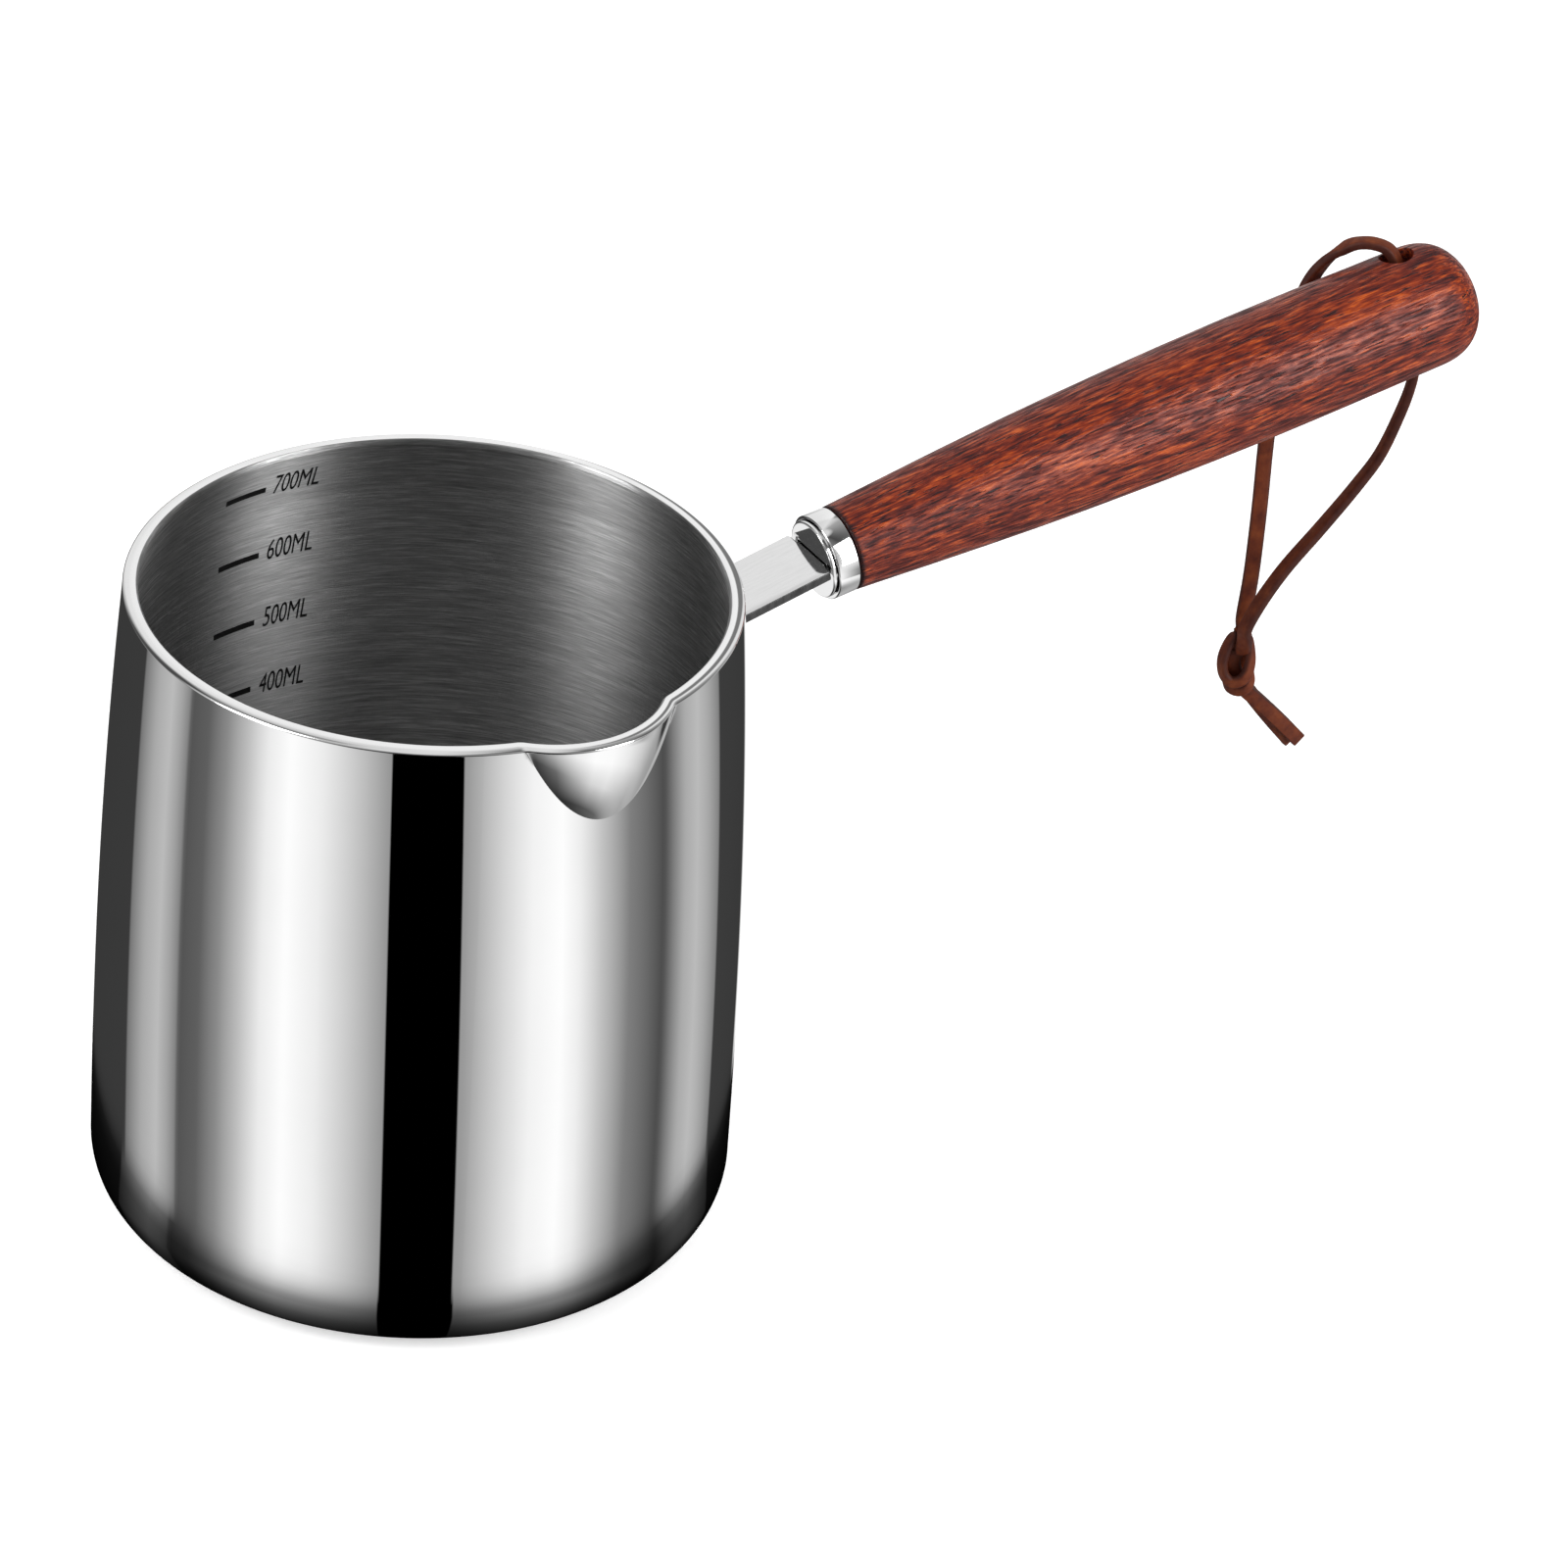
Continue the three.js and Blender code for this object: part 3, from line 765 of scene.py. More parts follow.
def make_run(name, node, points, end, stops):
    """A run of lace through its points, with an end that goes down into the knot."""
    path = smooth_path([thong_point(*p) for p in points] + [knot_point(*p) for p in end], RUN_STEPS)
    rings = strip_rings(path, turned_normals(path, stops), LACE_WIDTH, LACE_THICKNESS, LACE_CORNER)
    return lace_piece(name, node, [rings], LACE_WIDTH), path


# Directions that the lace's flat side faces, at shares of each run
BACK_TURNS = [
    (0, BENDING), (0.11, BENDING), (0.18, OVER), (0.32, -BENDING), (0.54, -FRONTWARDS), (1, -FRONTWARDS),
]
FRONT_TURNS = [(0, -RIGHTWARDS), (0.1, -RIGHTWARDS), (0.8, LEFT_AND_UP), (1, FRONTWARDS)]
# The runs' ends inside the knot: to the right, up and to the front of its middle
BACK_END = [(0.4, 3.3, -1.5), (-0.8, 1.0, -1.2), (-1.0, -1.2, -1.0)]
FRONT_END = [(1.05, 3.6, 0.6), (0.8, 2.0, -0.1)]

back_lace, back_path = make_run("lace_back", "thong_back_run", BACK_RUN, BACK_END, BACK_TURNS)
front_lace, front_path = make_run("lace_front", "thong_front_run", FRONT_RUN, FRONT_END, FRONT_TURNS)


# Turns of the knot: a loop round its left side and up across its front, and a second turn below it
KNOT_TURNS = [
    [
        (0.8, 5.4, -1.3), (-0.8, 4.4, -0.6), (-2.1, 2.3, 0.3), (-2.6, 0.2, 0.7), (-2.3, -1.9, 1.1),
        (-1.2, -3.0, 1.5), (0.3, -2.6, 1.7), (1.3, -1.5, 1.5), (1.9, 0.1, 0.9), (2.1, 2.0, 0.0),
        (2.0, 3.8, -0.9), (1.5, 5.0, -1.5),
    ],
    [
        (-2.2, -3.4, -0.7), (-1.7, -4.8, 0.2), (-0.3, -5.2, 0.8), (1.1, -4.6, 1.0), (1.7, -3.6, 0.5),
        (1.8, -2.4, -0.4),
    ],
]
# The strands inside the knot, on their way down to the tails
KNOT_STRANDS = [
    [(-0.2, 1.8, -1.0), (-0.9, 0.2, -0.8), (-0.8, -1.6, -0.6), (0.3, -4.6, -0.3)],
    [(0.9, 2.4, -1.4), (0.8, 0.0, -1.6), (0.6, -2.8, -1.4)],
]
KNOT_WIDTH = 2.1
KNOT_THICKNESS = 1.25
KNOT_FACING = 0.9


def make_knot():
    strips = []
    middle = knot_point(0, 0, -KNOT_FACING)
    for turns in KNOT_TURNS:
        path = smooth_path([knot_point(*turn) for turn in turns], KNOT_STEPS)
        normals = []
        for point, tangent in zip(path, tangents(path)):
            out = point - middle
            out -= OVER * out.dot(OVER)
            normals.append((out - tangent * out.dot(tangent)).normalized())
        strips.append(strip_rings(path, normals, KNOT_WIDTH, KNOT_THICKNESS, LACE_CORNER))
    for strand in KNOT_STRANDS:
        path = smooth_path([knot_point(*point) for point in strand], KNOT_STEPS)
        normals = turned_normals(path, [(0, FRONTWARDS), (1, FRONTWARDS)])
        strips.append(strip_rings(path, normals, LACE_WIDTH, LACE_THICKNESS, LACE_CORNER))
    return lace_piece("lace_knot", "thong_knot", strips, KNOT_WIDTH)


knot = make_knot()

# Cut ends: where each leaves the knot's lower face, how far it runs, and its bow
TAILS = {
    "lace_tail_long": ("thong_tail_long", (0.6, -0.8), (9.8, -14.6), 0.15),
    "lace_tail_short": ("thong_tail_short", (1.3, 0.8), (8.4, -15.3), -0.15),
}
TAIL_START = 1.6
TAIL_BOW_AT = (0.3, 0.7)


def make_tail(name, node, leaves, runs, bow):
    along, across, over = KNOT_MIDDLE
    start = thong_point(along + leaves[0], across + leaves[1], over - KNOT_HALF_LENGTH - GAP)
    reach = ALONG * runs[0] + OVER * runs[1]
    side = reach.cross(ACROSS).normalized()
    bowed = [start + reach * share + side * bow for share in TAIL_BOW_AT]
    path = smooth_path([start - reach.normalized() * TAIL_START, *bowed, start + reach], TAIL_STEPS)
    normals = turned_normals(path, [(0, FRONTWARDS), (1, -ACROSS)])
    rings = strip_rings(path, normals, TAIL_WIDTH, TAIL_THICKNESS, LACE_CORNER / 2)
    return lace_piece(name, node, [rings], TAIL_WIDTH)


tails = [make_tail(name, *tail) for name, tail in TAILS.items()]


# Pan
SPOUT_SPAN = 24.0
FINE_STEP = 0.25
COARSE_STEP = 1.5


def pan_angles():
    """Angles round the pan, closer together at the pouring lip."""
    fine = int(2 * SPOUT_SPAN / FINE_STEP)
    coarse = int((360 - 2 * SPOUT_SPAN) / COARSE_STEP)
    lip = [SPOUT_ANGLE - SPOUT_SPAN + FINE_STEP * i for i in range(fine)]
    return lip + [SPOUT_ANGLE + SPOUT_SPAN + COARSE_STEP * i for i in range(coarse)]


OUTSIDE, RIM, INSIDE, UNDERSIDE = range(4)
# Heights of the rows that follow the lip, and the share of them below its crease
LIP_BELOW = 0.8
LIP_SHARE = 0.55
LIP_MARGIN = 0.25
LIP_FOOT = PAN_HEIGHT - SPOUT_DEPTH - LIP_BELOW
LIP_TOP = PAN_HEIGHT - RIM_OUTSIDE_EDGE[1]
LIP_TURN = LIP_FOOT + (LIP_TOP - LIP_FOOT) * LIP_SHARE


def follow_crease(angle, z):
    """Moves the rows outside the lip so that one of them lies along its crease."""
    if not LIP_FOOT < z < LIP_TOP:
        return z
    crease = PAN_HEIGHT - SPOUT_DEPTH * (1 - spout_across(angle) ** 2)
    crease = clamp(crease, LIP_FOOT + LIP_MARGIN, LIP_TOP - LIP_MARGIN)
    if z < LIP_TURN:
        return LIP_FOOT + (z - LIP_FOOT) * (crease - LIP_FOOT) / (LIP_TURN - LIP_FOOT)
    return crease + (z - LIP_TURN) * (LIP_TOP - crease) / (LIP_TOP - LIP_TURN)


def make_pan():
    corner_at = BELLY_RADIUS - BOTTOM_CORNER
    rim_inside = RIM_RADIUS - RIM_WIDTH
    outer_wide, outer_tall = RIM_OUTSIDE_EDGE
    inner_wide, inner_tall = RIM_INSIDE_EDGE
    under = [(0, 0), *((corner_at * share, 0) for share in BASE_RINGS)]
    corner = arc(corner_at, BOTTOM_CORNER, BOTTOM_CORNER, BOTTOM_CORNER, -90, 0, CORNER_STEPS)
    lower_rows = between(BOTTOM_CORNER, LIP_FOOT, BARREL_ROWS)
    lip_rows = between(LIP_FOOT, LIP_TURN, LIP_ROWS) + between(LIP_TURN, LIP_TOP, LIP_ROWS)[:-1]
    outside = [(wall_radius(z), z) for z in lower_rows + lip_rows]
    rim_start = RIM_RADIUS - outer_wide
    rim = arc(rim_start, LIP_TOP, wall_radius(LIP_TOP) - rim_start, outer_tall, 0, 90, RIM_STEPS)
    inside_top = PAN_HEIGHT - inner_tall
    inside = arc(rim_inside + inner_wide, inside_top, inner_wide, inner_tall, 90, 180, INSIDE_STEPS)
    rows = lower_rows + between(LIP_FOOT, inside_top, INSIDE_LIP_ROWS)[:-1]
    inside += [(wall_radius(z) - wall_thickness(z), z) for z in reversed(rows)]
    inner_corner = (BOTTOM_CORNER - WALL, BOTTOM_CORNER - BASE)
    inside += arc(corner_at, BOTTOM_CORNER, *inner_corner, 0, -90, INSIDE_STEPS)
    inside += [*((corner_at * share, BASE) for share in reversed(BASE_RINGS)), (0, BASE)]
    profile = under + corner + outside + rim + inside
    tags = [UNDERSIDE] * len(under) + [OUTSIDE] * (len(corner) + len(outside))
    tags += [RIM] * len(rim) + [INSIDE] * len(inside)
    angles = pan_angles()
    rings = []
    for (radius, z), tag in zip(profile, tags):
        if radius == 0:
            rings.append([Vector((0, 0, z))])
            continue
        ring = []
        for angle in angles:
            height = follow_crease(angle, z) if tag == OUTSIDE else z
            reach = radius + wall_radius(height) - wall_radius(z)
            if radius > corner_at:
                reach += spout_push(angle, height)
            ring.append(round_point(reach, angle, height))
        rings.append(ring)
    materials = [
        polished_steel("steel_mirror", 0.004, 0.012),
        polished_steel("steel_rim", 0.05, 0.1),
        brushed_inside_and_painted_shade(),
        polished_steel("steel_underside", 0.2, 0.3, 0.7),
    ]
    pan = mesh_piece("pan", loft(rings), materials, SHARP_PAN)
    paint(pan, [tag for tag in tags[:-1] for _ in angles])
    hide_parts("pan_body")
    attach(pan, "pan")


make_pan()

# Volume marks on the inner wall: words and depth of their line below the rim
MARKS = {"700ML": 6.05, "600ML": 18.44, "500ML": 30.94, "400ML": 43.43}
MARK_LINE = (105.6, 95.9)
MARK_LINE_WIDTH = 1.0
MARK_LINE_STEPS = 16
MARK_TEXT_ANGLE = 94.0
MARK_TEXT_WIDTH = 7.8
MARK_TEXT_HEIGHT = 3.6
MARK_TEXT_RAISE = -1.3
MARK_DEPTH = 0.04
MARK_LEAN = 0.18


def inner_wall(angle, z, proud):
    """A point on the inner wall at an angle in degrees and a height, standing proud of it."""
    return round_point(wall_radius(z) - wall_thickness(z) - proud, angle, z)


def mark_line(z):
    """A short dark bar round the wall."""
    half = MARK_LINE_WIDTH / 2
    corners = ((-half, -MARK_DEPTH), (half, -MARK_DEPTH), (half, MARK_DEPTH), (-half, MARK_DEPTH))
    rings = []
    for angle in [MARK_LINE[0], *between(*MARK_LINE, MARK_LINE_STEPS)]:
        rings.append([inner_wall(angle, z + up, proud) for up, proud in corners])
    return loft(rings)


def mark_words(words, z):
    """Letters laid on the wall, from left to right as seen from the middle of the pan."""
    data = bpy.data.curves.new(words, "FONT")
    data.body = words
    data.extrude = MARK_DEPTH
    data.shear = MARK_LEAN
    text = add(words, data)
    mesh = evaluated_mesh(text)
    bpy.data.objects.remove(text)
    xs = [v.co.x for v in mesh.vertices]
    ys = [v.co.y for v in mesh.vertices]
    wide = MARK_TEXT_WIDTH / (max(xs) - min(xs))
    tall = MARK_TEXT_HEIGHT / (max(ys) - min(ys))
    points = []
    for v in mesh.vertices:
        height = z + MARK_TEXT_RAISE + (v.co.y - min(ys)) * tall
        radius = wall_radius(height) - wall_thickness(height)
        angle = MARK_TEXT_ANGLE - math.degrees((v.co.x - min(xs)) * wide / radius)
        points.append(inner_wall(angle, height, v.co.z))
    faces = [tuple(p.vertices) for p in mesh.polygons]
    bpy.data.meshes.remove(mesh)
    return points, faces


def make_marks():
    shapes = []
    for words, depth in MARKS.items():
        z = PAN_HEIGHT - depth
        shapes += [mark_line(z), mark_words(words, z)]
    marks = mesh_piece("volume_marks", joined(shapes), [etched_mark()], SHARP_MARKS)
    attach(marks, "pan")


make_marks()


# Bracket: a strap whose foot is bent down along the wall, and its tongue
def strap_section(width, thickness, edge):
    """A rounded rectangle with points along its wide sides too, so that it can follow the round wall."""
    x = width / 2 - edge
    y = thickness / 2 - edge
    ring = arc(x, y, edge, edge, 0, 90, EDGE_STEPS)
    ring += [(x - 2 * x * i / STRAP_COLUMNS, thickness / 2) for i in range(1, STRAP_COLUMNS)]
    ring += arc(-x, y, edge, edge, 90, 180, EDGE_STEPS)
    # The lower half is the upper one, turned round
    return ring + [(-a, -b) for a, b in ring]


def make_bracket():
    strap_end = handle_point(BRACKET_REACH, 0, STRAP_RISE)
    strap_start = strap_end - STRAP_ALONG * BRACKET_REACH
    foot_top = strap_start.z - STRAP_THICKNESS / 2
    foot_bottom = foot_top - FOOT_LENGTH
    stand = GAP + STRAP_THICKNESS / 2
    foot = Vector((wall_radius(foot_bottom) + stand, 0, foot_bottom))
    lean = STRAP_THICKNESS / 2 * math.sin(STRAP_TILT - HANDLE_TILT)
    arm_end = strap_end - STRAP_ALONG * lean
    rising = (Vector((wall_radius(foot_top) + stand, 0, foot_top)) - foot).normalized()
    rise = (strap_start - foot).dot(STRAP_OVER) / rising.dot(STRAP_OVER)
    corner = foot + rising * rise
    turn = math.acos(clamp(rising.dot(STRAP_ALONG), -1, 1))
    bend_start = corner - rising * FOOT_BEND * math.tan(turn / 2)
    bend_centre = bend_start + Vector((rising.z, 0, -rising.x)) * FOOT_BEND
    bend = []
    for i in range(BEND_STEPS + 1):
        turned = Matrix.Rotation(turn * i / BEND_STEPS, 3, "Y")
        bend.append(bend_centre + turned @ (bend_start - bend_centre))
    foot_run = [foot.lerp(bend_start, i / FOOT_ROWS) for i in range(FOOT_ROWS)]
    arm_run = [bend[-1].lerp(arm_end, (i + 1) / ARM_ROWS) for i in range(ARM_ROWS)]
    path = foot_run + bend + arm_run
    along = tangents(path)
    normals = [Vector((-t.z, 0, t.x)) for t in along]
    rings = []
    section = strap_section(STRAP_WIDTH, STRAP_THICKNESS, STRAP_EDGE)
    for point, normal in zip(path, normals):
        rings.append([point + ACROSS * x + normal * y for x, y in section])
    start = [point.lerp(path[0], STRAP_END_INSET) for point in rings[0]]
    rings[0] = [p + along[0] * STRAP_EDGE for p in rings[0]]
    rings.insert(0, start)
    tongue = strap_section(TONGUE_WIDTH, TONGUE_THICKNESS, TONGUE_EDGE)
    wide, tall = STRAP_END_SHARE
    end_edge = [arm_end + ACROSS * x * wide + STRAP_OVER * y * tall for x, y in section]
    rings[-1] = [p - STRAP_ALONG * STRAP_EDGE for p in rings[-1]]
    rings.append(end_edge)
    for place in (BRACKET_REACH - lean, CAVITY_FLOOR):
        rings.append([handle_point(place, x, STRAP_RISE + y) for x, y in tongue])
    foot_face = corner.x + STRAP_THICKNESS / 2
    for ring in rings:
        for point in ring:
            share = clamp(1 - (point.x - foot_face) / FOOT_BEND, 0, 1)
            point.x -= share * (point.x - math.sqrt(point.x**2 - point.y**2))
    bracket = mesh_piece("bracket", loft(rings), [satin_steel(), sheared_steel_with_painted_shade()])
    # The strap's side faces get the steel that is painted dark as painted shade
    paint(bracket, [1 if abs(face.normal.y) > SHEARED_SIDE else 0 for face in bracket.data.polygons])
    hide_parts("handle_bracket")
    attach(bracket, "pan")
    return foot_bottom


weld_bottom = make_bracket()


def eased(share):
    """Rises from 0 to 1 like a quarter of a wave."""
    return math.sin(math.pi * clamp(share, 0, 1) / 2)


def make_weld(name, node, side):
    """A rippled bead along one side of the bracket's foot."""
    inner = STRAP_WIDTH / 2 + GAP
    length = FOOT_LENGTH - FOOT_BEND
    rings = []
    for i in range(WELD_ROWS + 1):
        share = i / WELD_ROWS
        z = weld_bottom + length * share
        ripple = WELD_RIPPLE * abs(math.sin(math.pi * length * share / WELD_PITCH))
        ends = eased(share / WELD_TAPER) * eased((1 - share) / WELD_TAPER)
        leg = (WELD_LEG - WELD_SINK + ripple) * (WELD_END_LEG + (1 - WELD_END_LEG) * ends)
        ring = []
        for out, wide in [(0, 0), *arc(0, 0, leg, leg, 0, 90, WELD_STEPS)]:
            across = side * (inner + wide)
            height = clamp(z - WELD_LAG * wide, weld_bottom, weld_bottom + length)
            radius = wall_radius(height) + GAP + out
            ring.append(Vector((math.sqrt(radius**2 - across**2), across, height)))
        rings.append(ring)
    weld = mesh_piece(name, loft(rings), [weld_steel()], SHARP_SOFT)
    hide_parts(node)
    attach(weld, "pan")


make_weld("weld_left", "weld_bead_left", 1)
make_weld("weld_right", "weld_bead_right", -1)


def make_ferrule():
    cavity = RING_RADIUS - FERRULE_SIDE_WALL
    edge = FERRULE_EDGE
    # A ring just inside the boss's edge keeps its face flat
    profile = [(0, BOSS_FRONT), (BOSS_RADIUS - 2 * edge, BOSS_FRONT)]
    profile += arc(BOSS_RADIUS - edge, BOSS_FRONT + edge, edge, edge, -90, 0, FERRULE_STEPS)
    groove = BOSS_RADIUS - FERRULE_GROOVE_DEPTH
    groove_front = RING_FRONT - FERRULE_GROOVE_WIDTH
    profile += [(BOSS_RADIUS, groove_front), (groove, groove_front), (groove, RING_FRONT)]
    profile += arc(RING_RADIUS - edge, RING_FRONT + edge, edge, edge, -90, 0, FERRULE_STEPS)
    edge = FERRULE_BACK_EDGE
    profile += arc(RING_RADIUS - edge, RING_BACK - edge, edge, edge, 0, 90, EDGE_STEPS)
    profile += [(cavity, RING_BACK), (cavity, CAVITY_FLOOR), (0, CAVITY_FLOOR)]
    steel = polished_steel("steel_ferrule", 0.04, 0.07)
    ferrule = mesh_piece("collar", loft(turned_rings(profile, FERRULE_SEGMENTS)), [steel])
    x = TONGUE_WIDTH / 2 + GAP
    y = TONGUE_THICKNESS / 2 + GAP
    corners = ((-x, -y), (x, -y), (x, y), (-x, y))
    ends = (BOSS_FRONT - SLOT_CUTTER_PAST[0], CAVITY_FLOOR + SLOT_CUTTER_PAST[1])
    cut(ferrule, [[handle_point(along, a, b + STRAP_RISE) for a, b in corners] for along in ends])
    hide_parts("ferrule")
    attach(ferrule, "pan")


make_ferrule()


def spline_radii(knots, count):
    """Points of a uniform Catmull-Rom curve through (radius, distance) pairs."""
    points = [Vector(k) for k in knots]
    points = [points[0], *points, points[-1]]
    found = []
    spans = len(knots) - 1
    for i in range(count + 1):
        place = i * spans / count
        span = min(int(place), spans - 1)
        t = place - span
        p0, p1, p2, p3 = points[span : span + 4]
        v0 = (p2 - p0) / 2
        v1 = (p3 - p1) / 2
        point = (2 * p1 - 2 * p2 + v0 + v1) * t**3 + (-3 * p1 + 3 * p2 - 2 * v0 - v1) * t**2 + v0 * t + p1
        found.append((point.x, point.y))
    return found


def make_grip():
    tip_start = GRIP_TIP - TIP_LENGTH
    bore_end = GRIP_FRONT + GRIP_BORE_DEPTH
    profile = [(0, bore_end), (GRIP_BORE, bore_end), (GRIP_BORE, GRIP_FRONT)]
    edge = GRIP_FRONT_EDGE
    profile += arc(GRIP_FRONT_RADIUS - edge, GRIP_FRONT + edge, edge, edge, -90, -15, GRIP_EDGE_STEPS)
    profile += spline_radii(
        [
            (GRIP_FRONT_RADIUS, GRIP_FRONT + edge),
            (GRIP_SHOULDER_RADIUS, GRIP_FRONT + GRIP_SHOULDER_AT),
            (GRIP_PALM_RADIUS, GRIP_FRONT + GRIP_PALM_AT),
            (GRIP_END_RADIUS, tip_start),
        ],
        GRIP_ROWS,
    )
    for i in range(1, TIP_ROWS + 1):
        along = eased(i / TIP_ROWS)
        radius = GRIP_END_RADIUS * max(1 - along**TIP_POWER, 0) ** (1 / TIP_POWER)
        profile.append((radius if i < TIP_ROWS else 0, tip_start + TIP_LENGTH * along))
    grip = mesh_piece("grip", loft(turned_rings(profile, GRIP_SEGMENTS)), [rosewood()])
    middle = handle_point(HOLE_AT)
    round_hole = [ALONG * math.cos(t) + HOLE_SIDE * math.sin(t) for t in full_turn(HOLE_SEGMENTS)]
    rings = []
    for i in range(-HOLE_ROWS, HOLE_ROWS + 1):
        height = i * HOLE_ROW_HEIGHT
        past = max(abs(height) - HOLE_FLARE_FROM, 0) / (GRIP_END_RADIUS - HOLE_FLARE_FROM)
        radius = HOLE_RADIUS + HOLE_FLARE * past**2
        rings.append([middle + HOLE_UP * height + way * radius for way in round_hole])
    cut(grip, rings)
    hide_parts("wooden_grip")
    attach(grip, "pan")


make_grip()


def dress(node, material):
    """Gives a CAD node that stays in view its material."""
    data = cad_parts[node].data
    data.materials.clear()
    data.materials.append(material)


dress("handle_stud", hidden_metal("steel_zinc", (0.5, 0.51, 0.52), (0.66, 0.67, 0.68)))
dress("threaded_insert", hidden_metal("brass_turned", (0.6, 0.43, 0.16), (0.74, 0.57, 0.27)))

# Studio: a pale floor, two soft boxes, and a surround with cards that the polished steel mirrors
STUDIO_TURN = math.radians(-123.5)
DISPLAY_POWER = 2.2
STUDIO_AIM = Vector((0.05, 0, 0.08))


def grey(level):
    """Linear value of a display level from 0 to 255, as seen in polished steel."""
    return (level / 255) ** DISPLAY_POWER / STEEL_LIGHT


# Bands of the surround that the pan's wall mirrors: degrees from the camera's side, and display level
WALL_BANDS = [
    (-180, 56), (-120.6, 60), (-119.9, 115), (-109, 168), (-100, 186), (-94, 161), (-89.2, 125),
    (-88.4, 84), (-79, 95), (-70, 138), (-61, 188), (-52, 236), (-43, 255), (-31, 237), (-6.4, 148),
    (20.4, 150), (36, 217), (45, 243), (56, 255), (63, 239), (72, 194), (84, 127), (100.5, 76),
    (103, 100), (112, 169), (120, 186), (127, 166), (135.2, 128), (136.0, 62), (180, 56),
]
# A dark stripe in them, and the width of its edges
STRIPE = (math.radians(-5.9), math.radians(19.3))
STRIPE_EDGE = math.radians(0.6)
# Softer bands below those, which the pouring lip mirrors, for three heights
LIP_UPPER_BANDS = [
    (-180, 134), (-126, 235), (-70, 250), (-45, 236), (-15, 160), (0, 180), (10, 205), (30, 236),
    (50, 254), (70, 252), (90, 234), (110, 203), (130, 163), (150, 141), (180, 134),
]
LIP_MIDDLE_BANDS = [
    (-180, 150), (-126, 200), (-70, 210), (-30, 90), (-10, 66), (10, 107), (30, 172), (50, 213),
    (70, 220), (90, 195), (110, 165), (150, 170), (180, 150),
]
LIP_LOWER_BANDS = [
    (-180, 150), (-126, 110), (-60, 90), (-10, 36), (10, 42), (30, 62), (50, 84), (70, 97), (105, 150),
    (150, 180), (180, 150),
]
# Bands just below eye level, above it, and overhead
LOW_BANDS = [
    (-180, 236), (-172, 200), (-165, 90), (-98, 90), (-80, 190), (-50, 235), (-38, 150), (-22, 45),
    (0, 15), (22, 20), (40, 130), (54, 235), (75, 215), (110, 150), (132, 205), (150, 240), (180, 240),
]
UPPER_BANDS = [
    (-180, 240), (-167, 226), (-150, 222), (-128, 80), (-98, 70), (-82, 190), (-62, 248), (-42, 160),
    (-20, 115), (0, 100), (20, 110), (42, 150), (63, 248), (78, 195), (98, 80), (132, 150), (146, 225),
    (157, 222), (161, 118), (176, 118), (179, 235), (180, 240),
]
TOP_BANDS = [
    (-180, 222), (-150, 200), (-110, 110), (-30, 208), (10, 210), (40, 130), (63, 72), (92, 104),
    (135, 140), (161, 160), (180, 222),
]
# Heights of the surround, as sines, between which one set of bands goes over into the next
LIP_LOWER_FADE = (-0.93, -0.86)
LIP_MIDDLE_FADE = (-0.85, -0.766)
LIP_UPPER_FADE = (-0.766, -0.68)
WALL_FADE = (-0.622, -0.6)
LOW_FADE = (-0.4, -0.14)
HORIZON_FADE = (-0.1, 0.1)
TOP_FADE = (0.72, 0.8)
ZENITH_FADE = (0.965, 0.985)
# Display levels straight down, straight up and on the far side
NADIR_LEVEL = 20
ZENITH_LEVEL = 215
FAR_LEVEL = 245
# A card on the camera's side that reaches higher: its half width, and how far it stands above the horizon
CARD_HALF = (math.radians(32), math.radians(48))
CARD_RISE = 0.34
# How the wall's bands lean: their turn per unit of height at the camera's side, and more to its right
LEAN_LEVEL = -0.537
LEAN = math.radians(17)
LEAN_RIGHT = 0.25
# Angle from the camera's side past which the far side is bright, down to the horizon's foot
FAR_SIDE = (math.radians(167), math.radians(172))


def band_light(tree, angle, bands):
    """Light of bands at an angle from the camera's side."""
    share = tree.spread(angle, -math.pi, math.pi)
    return tree.ramp(share, [((degrees + 180) / 360, grey(level)) for degrees, level in bands])


def wall_light(tree, angle):
    """Light of the bands that the wall mirrors, with their dark stripe."""
    light = band_light(tree, angle, WALL_BANDS)
    left = tree.spread(angle, STRIPE[0] - STRIPE_EDGE, STRIPE[0], 1.0, 0.0)
    right = tree.spread(angle, STRIPE[1], STRIPE[1] + STRIPE_EDGE)
    return tree.mix(1.0, light, tree.math("MAXIMUM", left, right), "MULTIPLY")


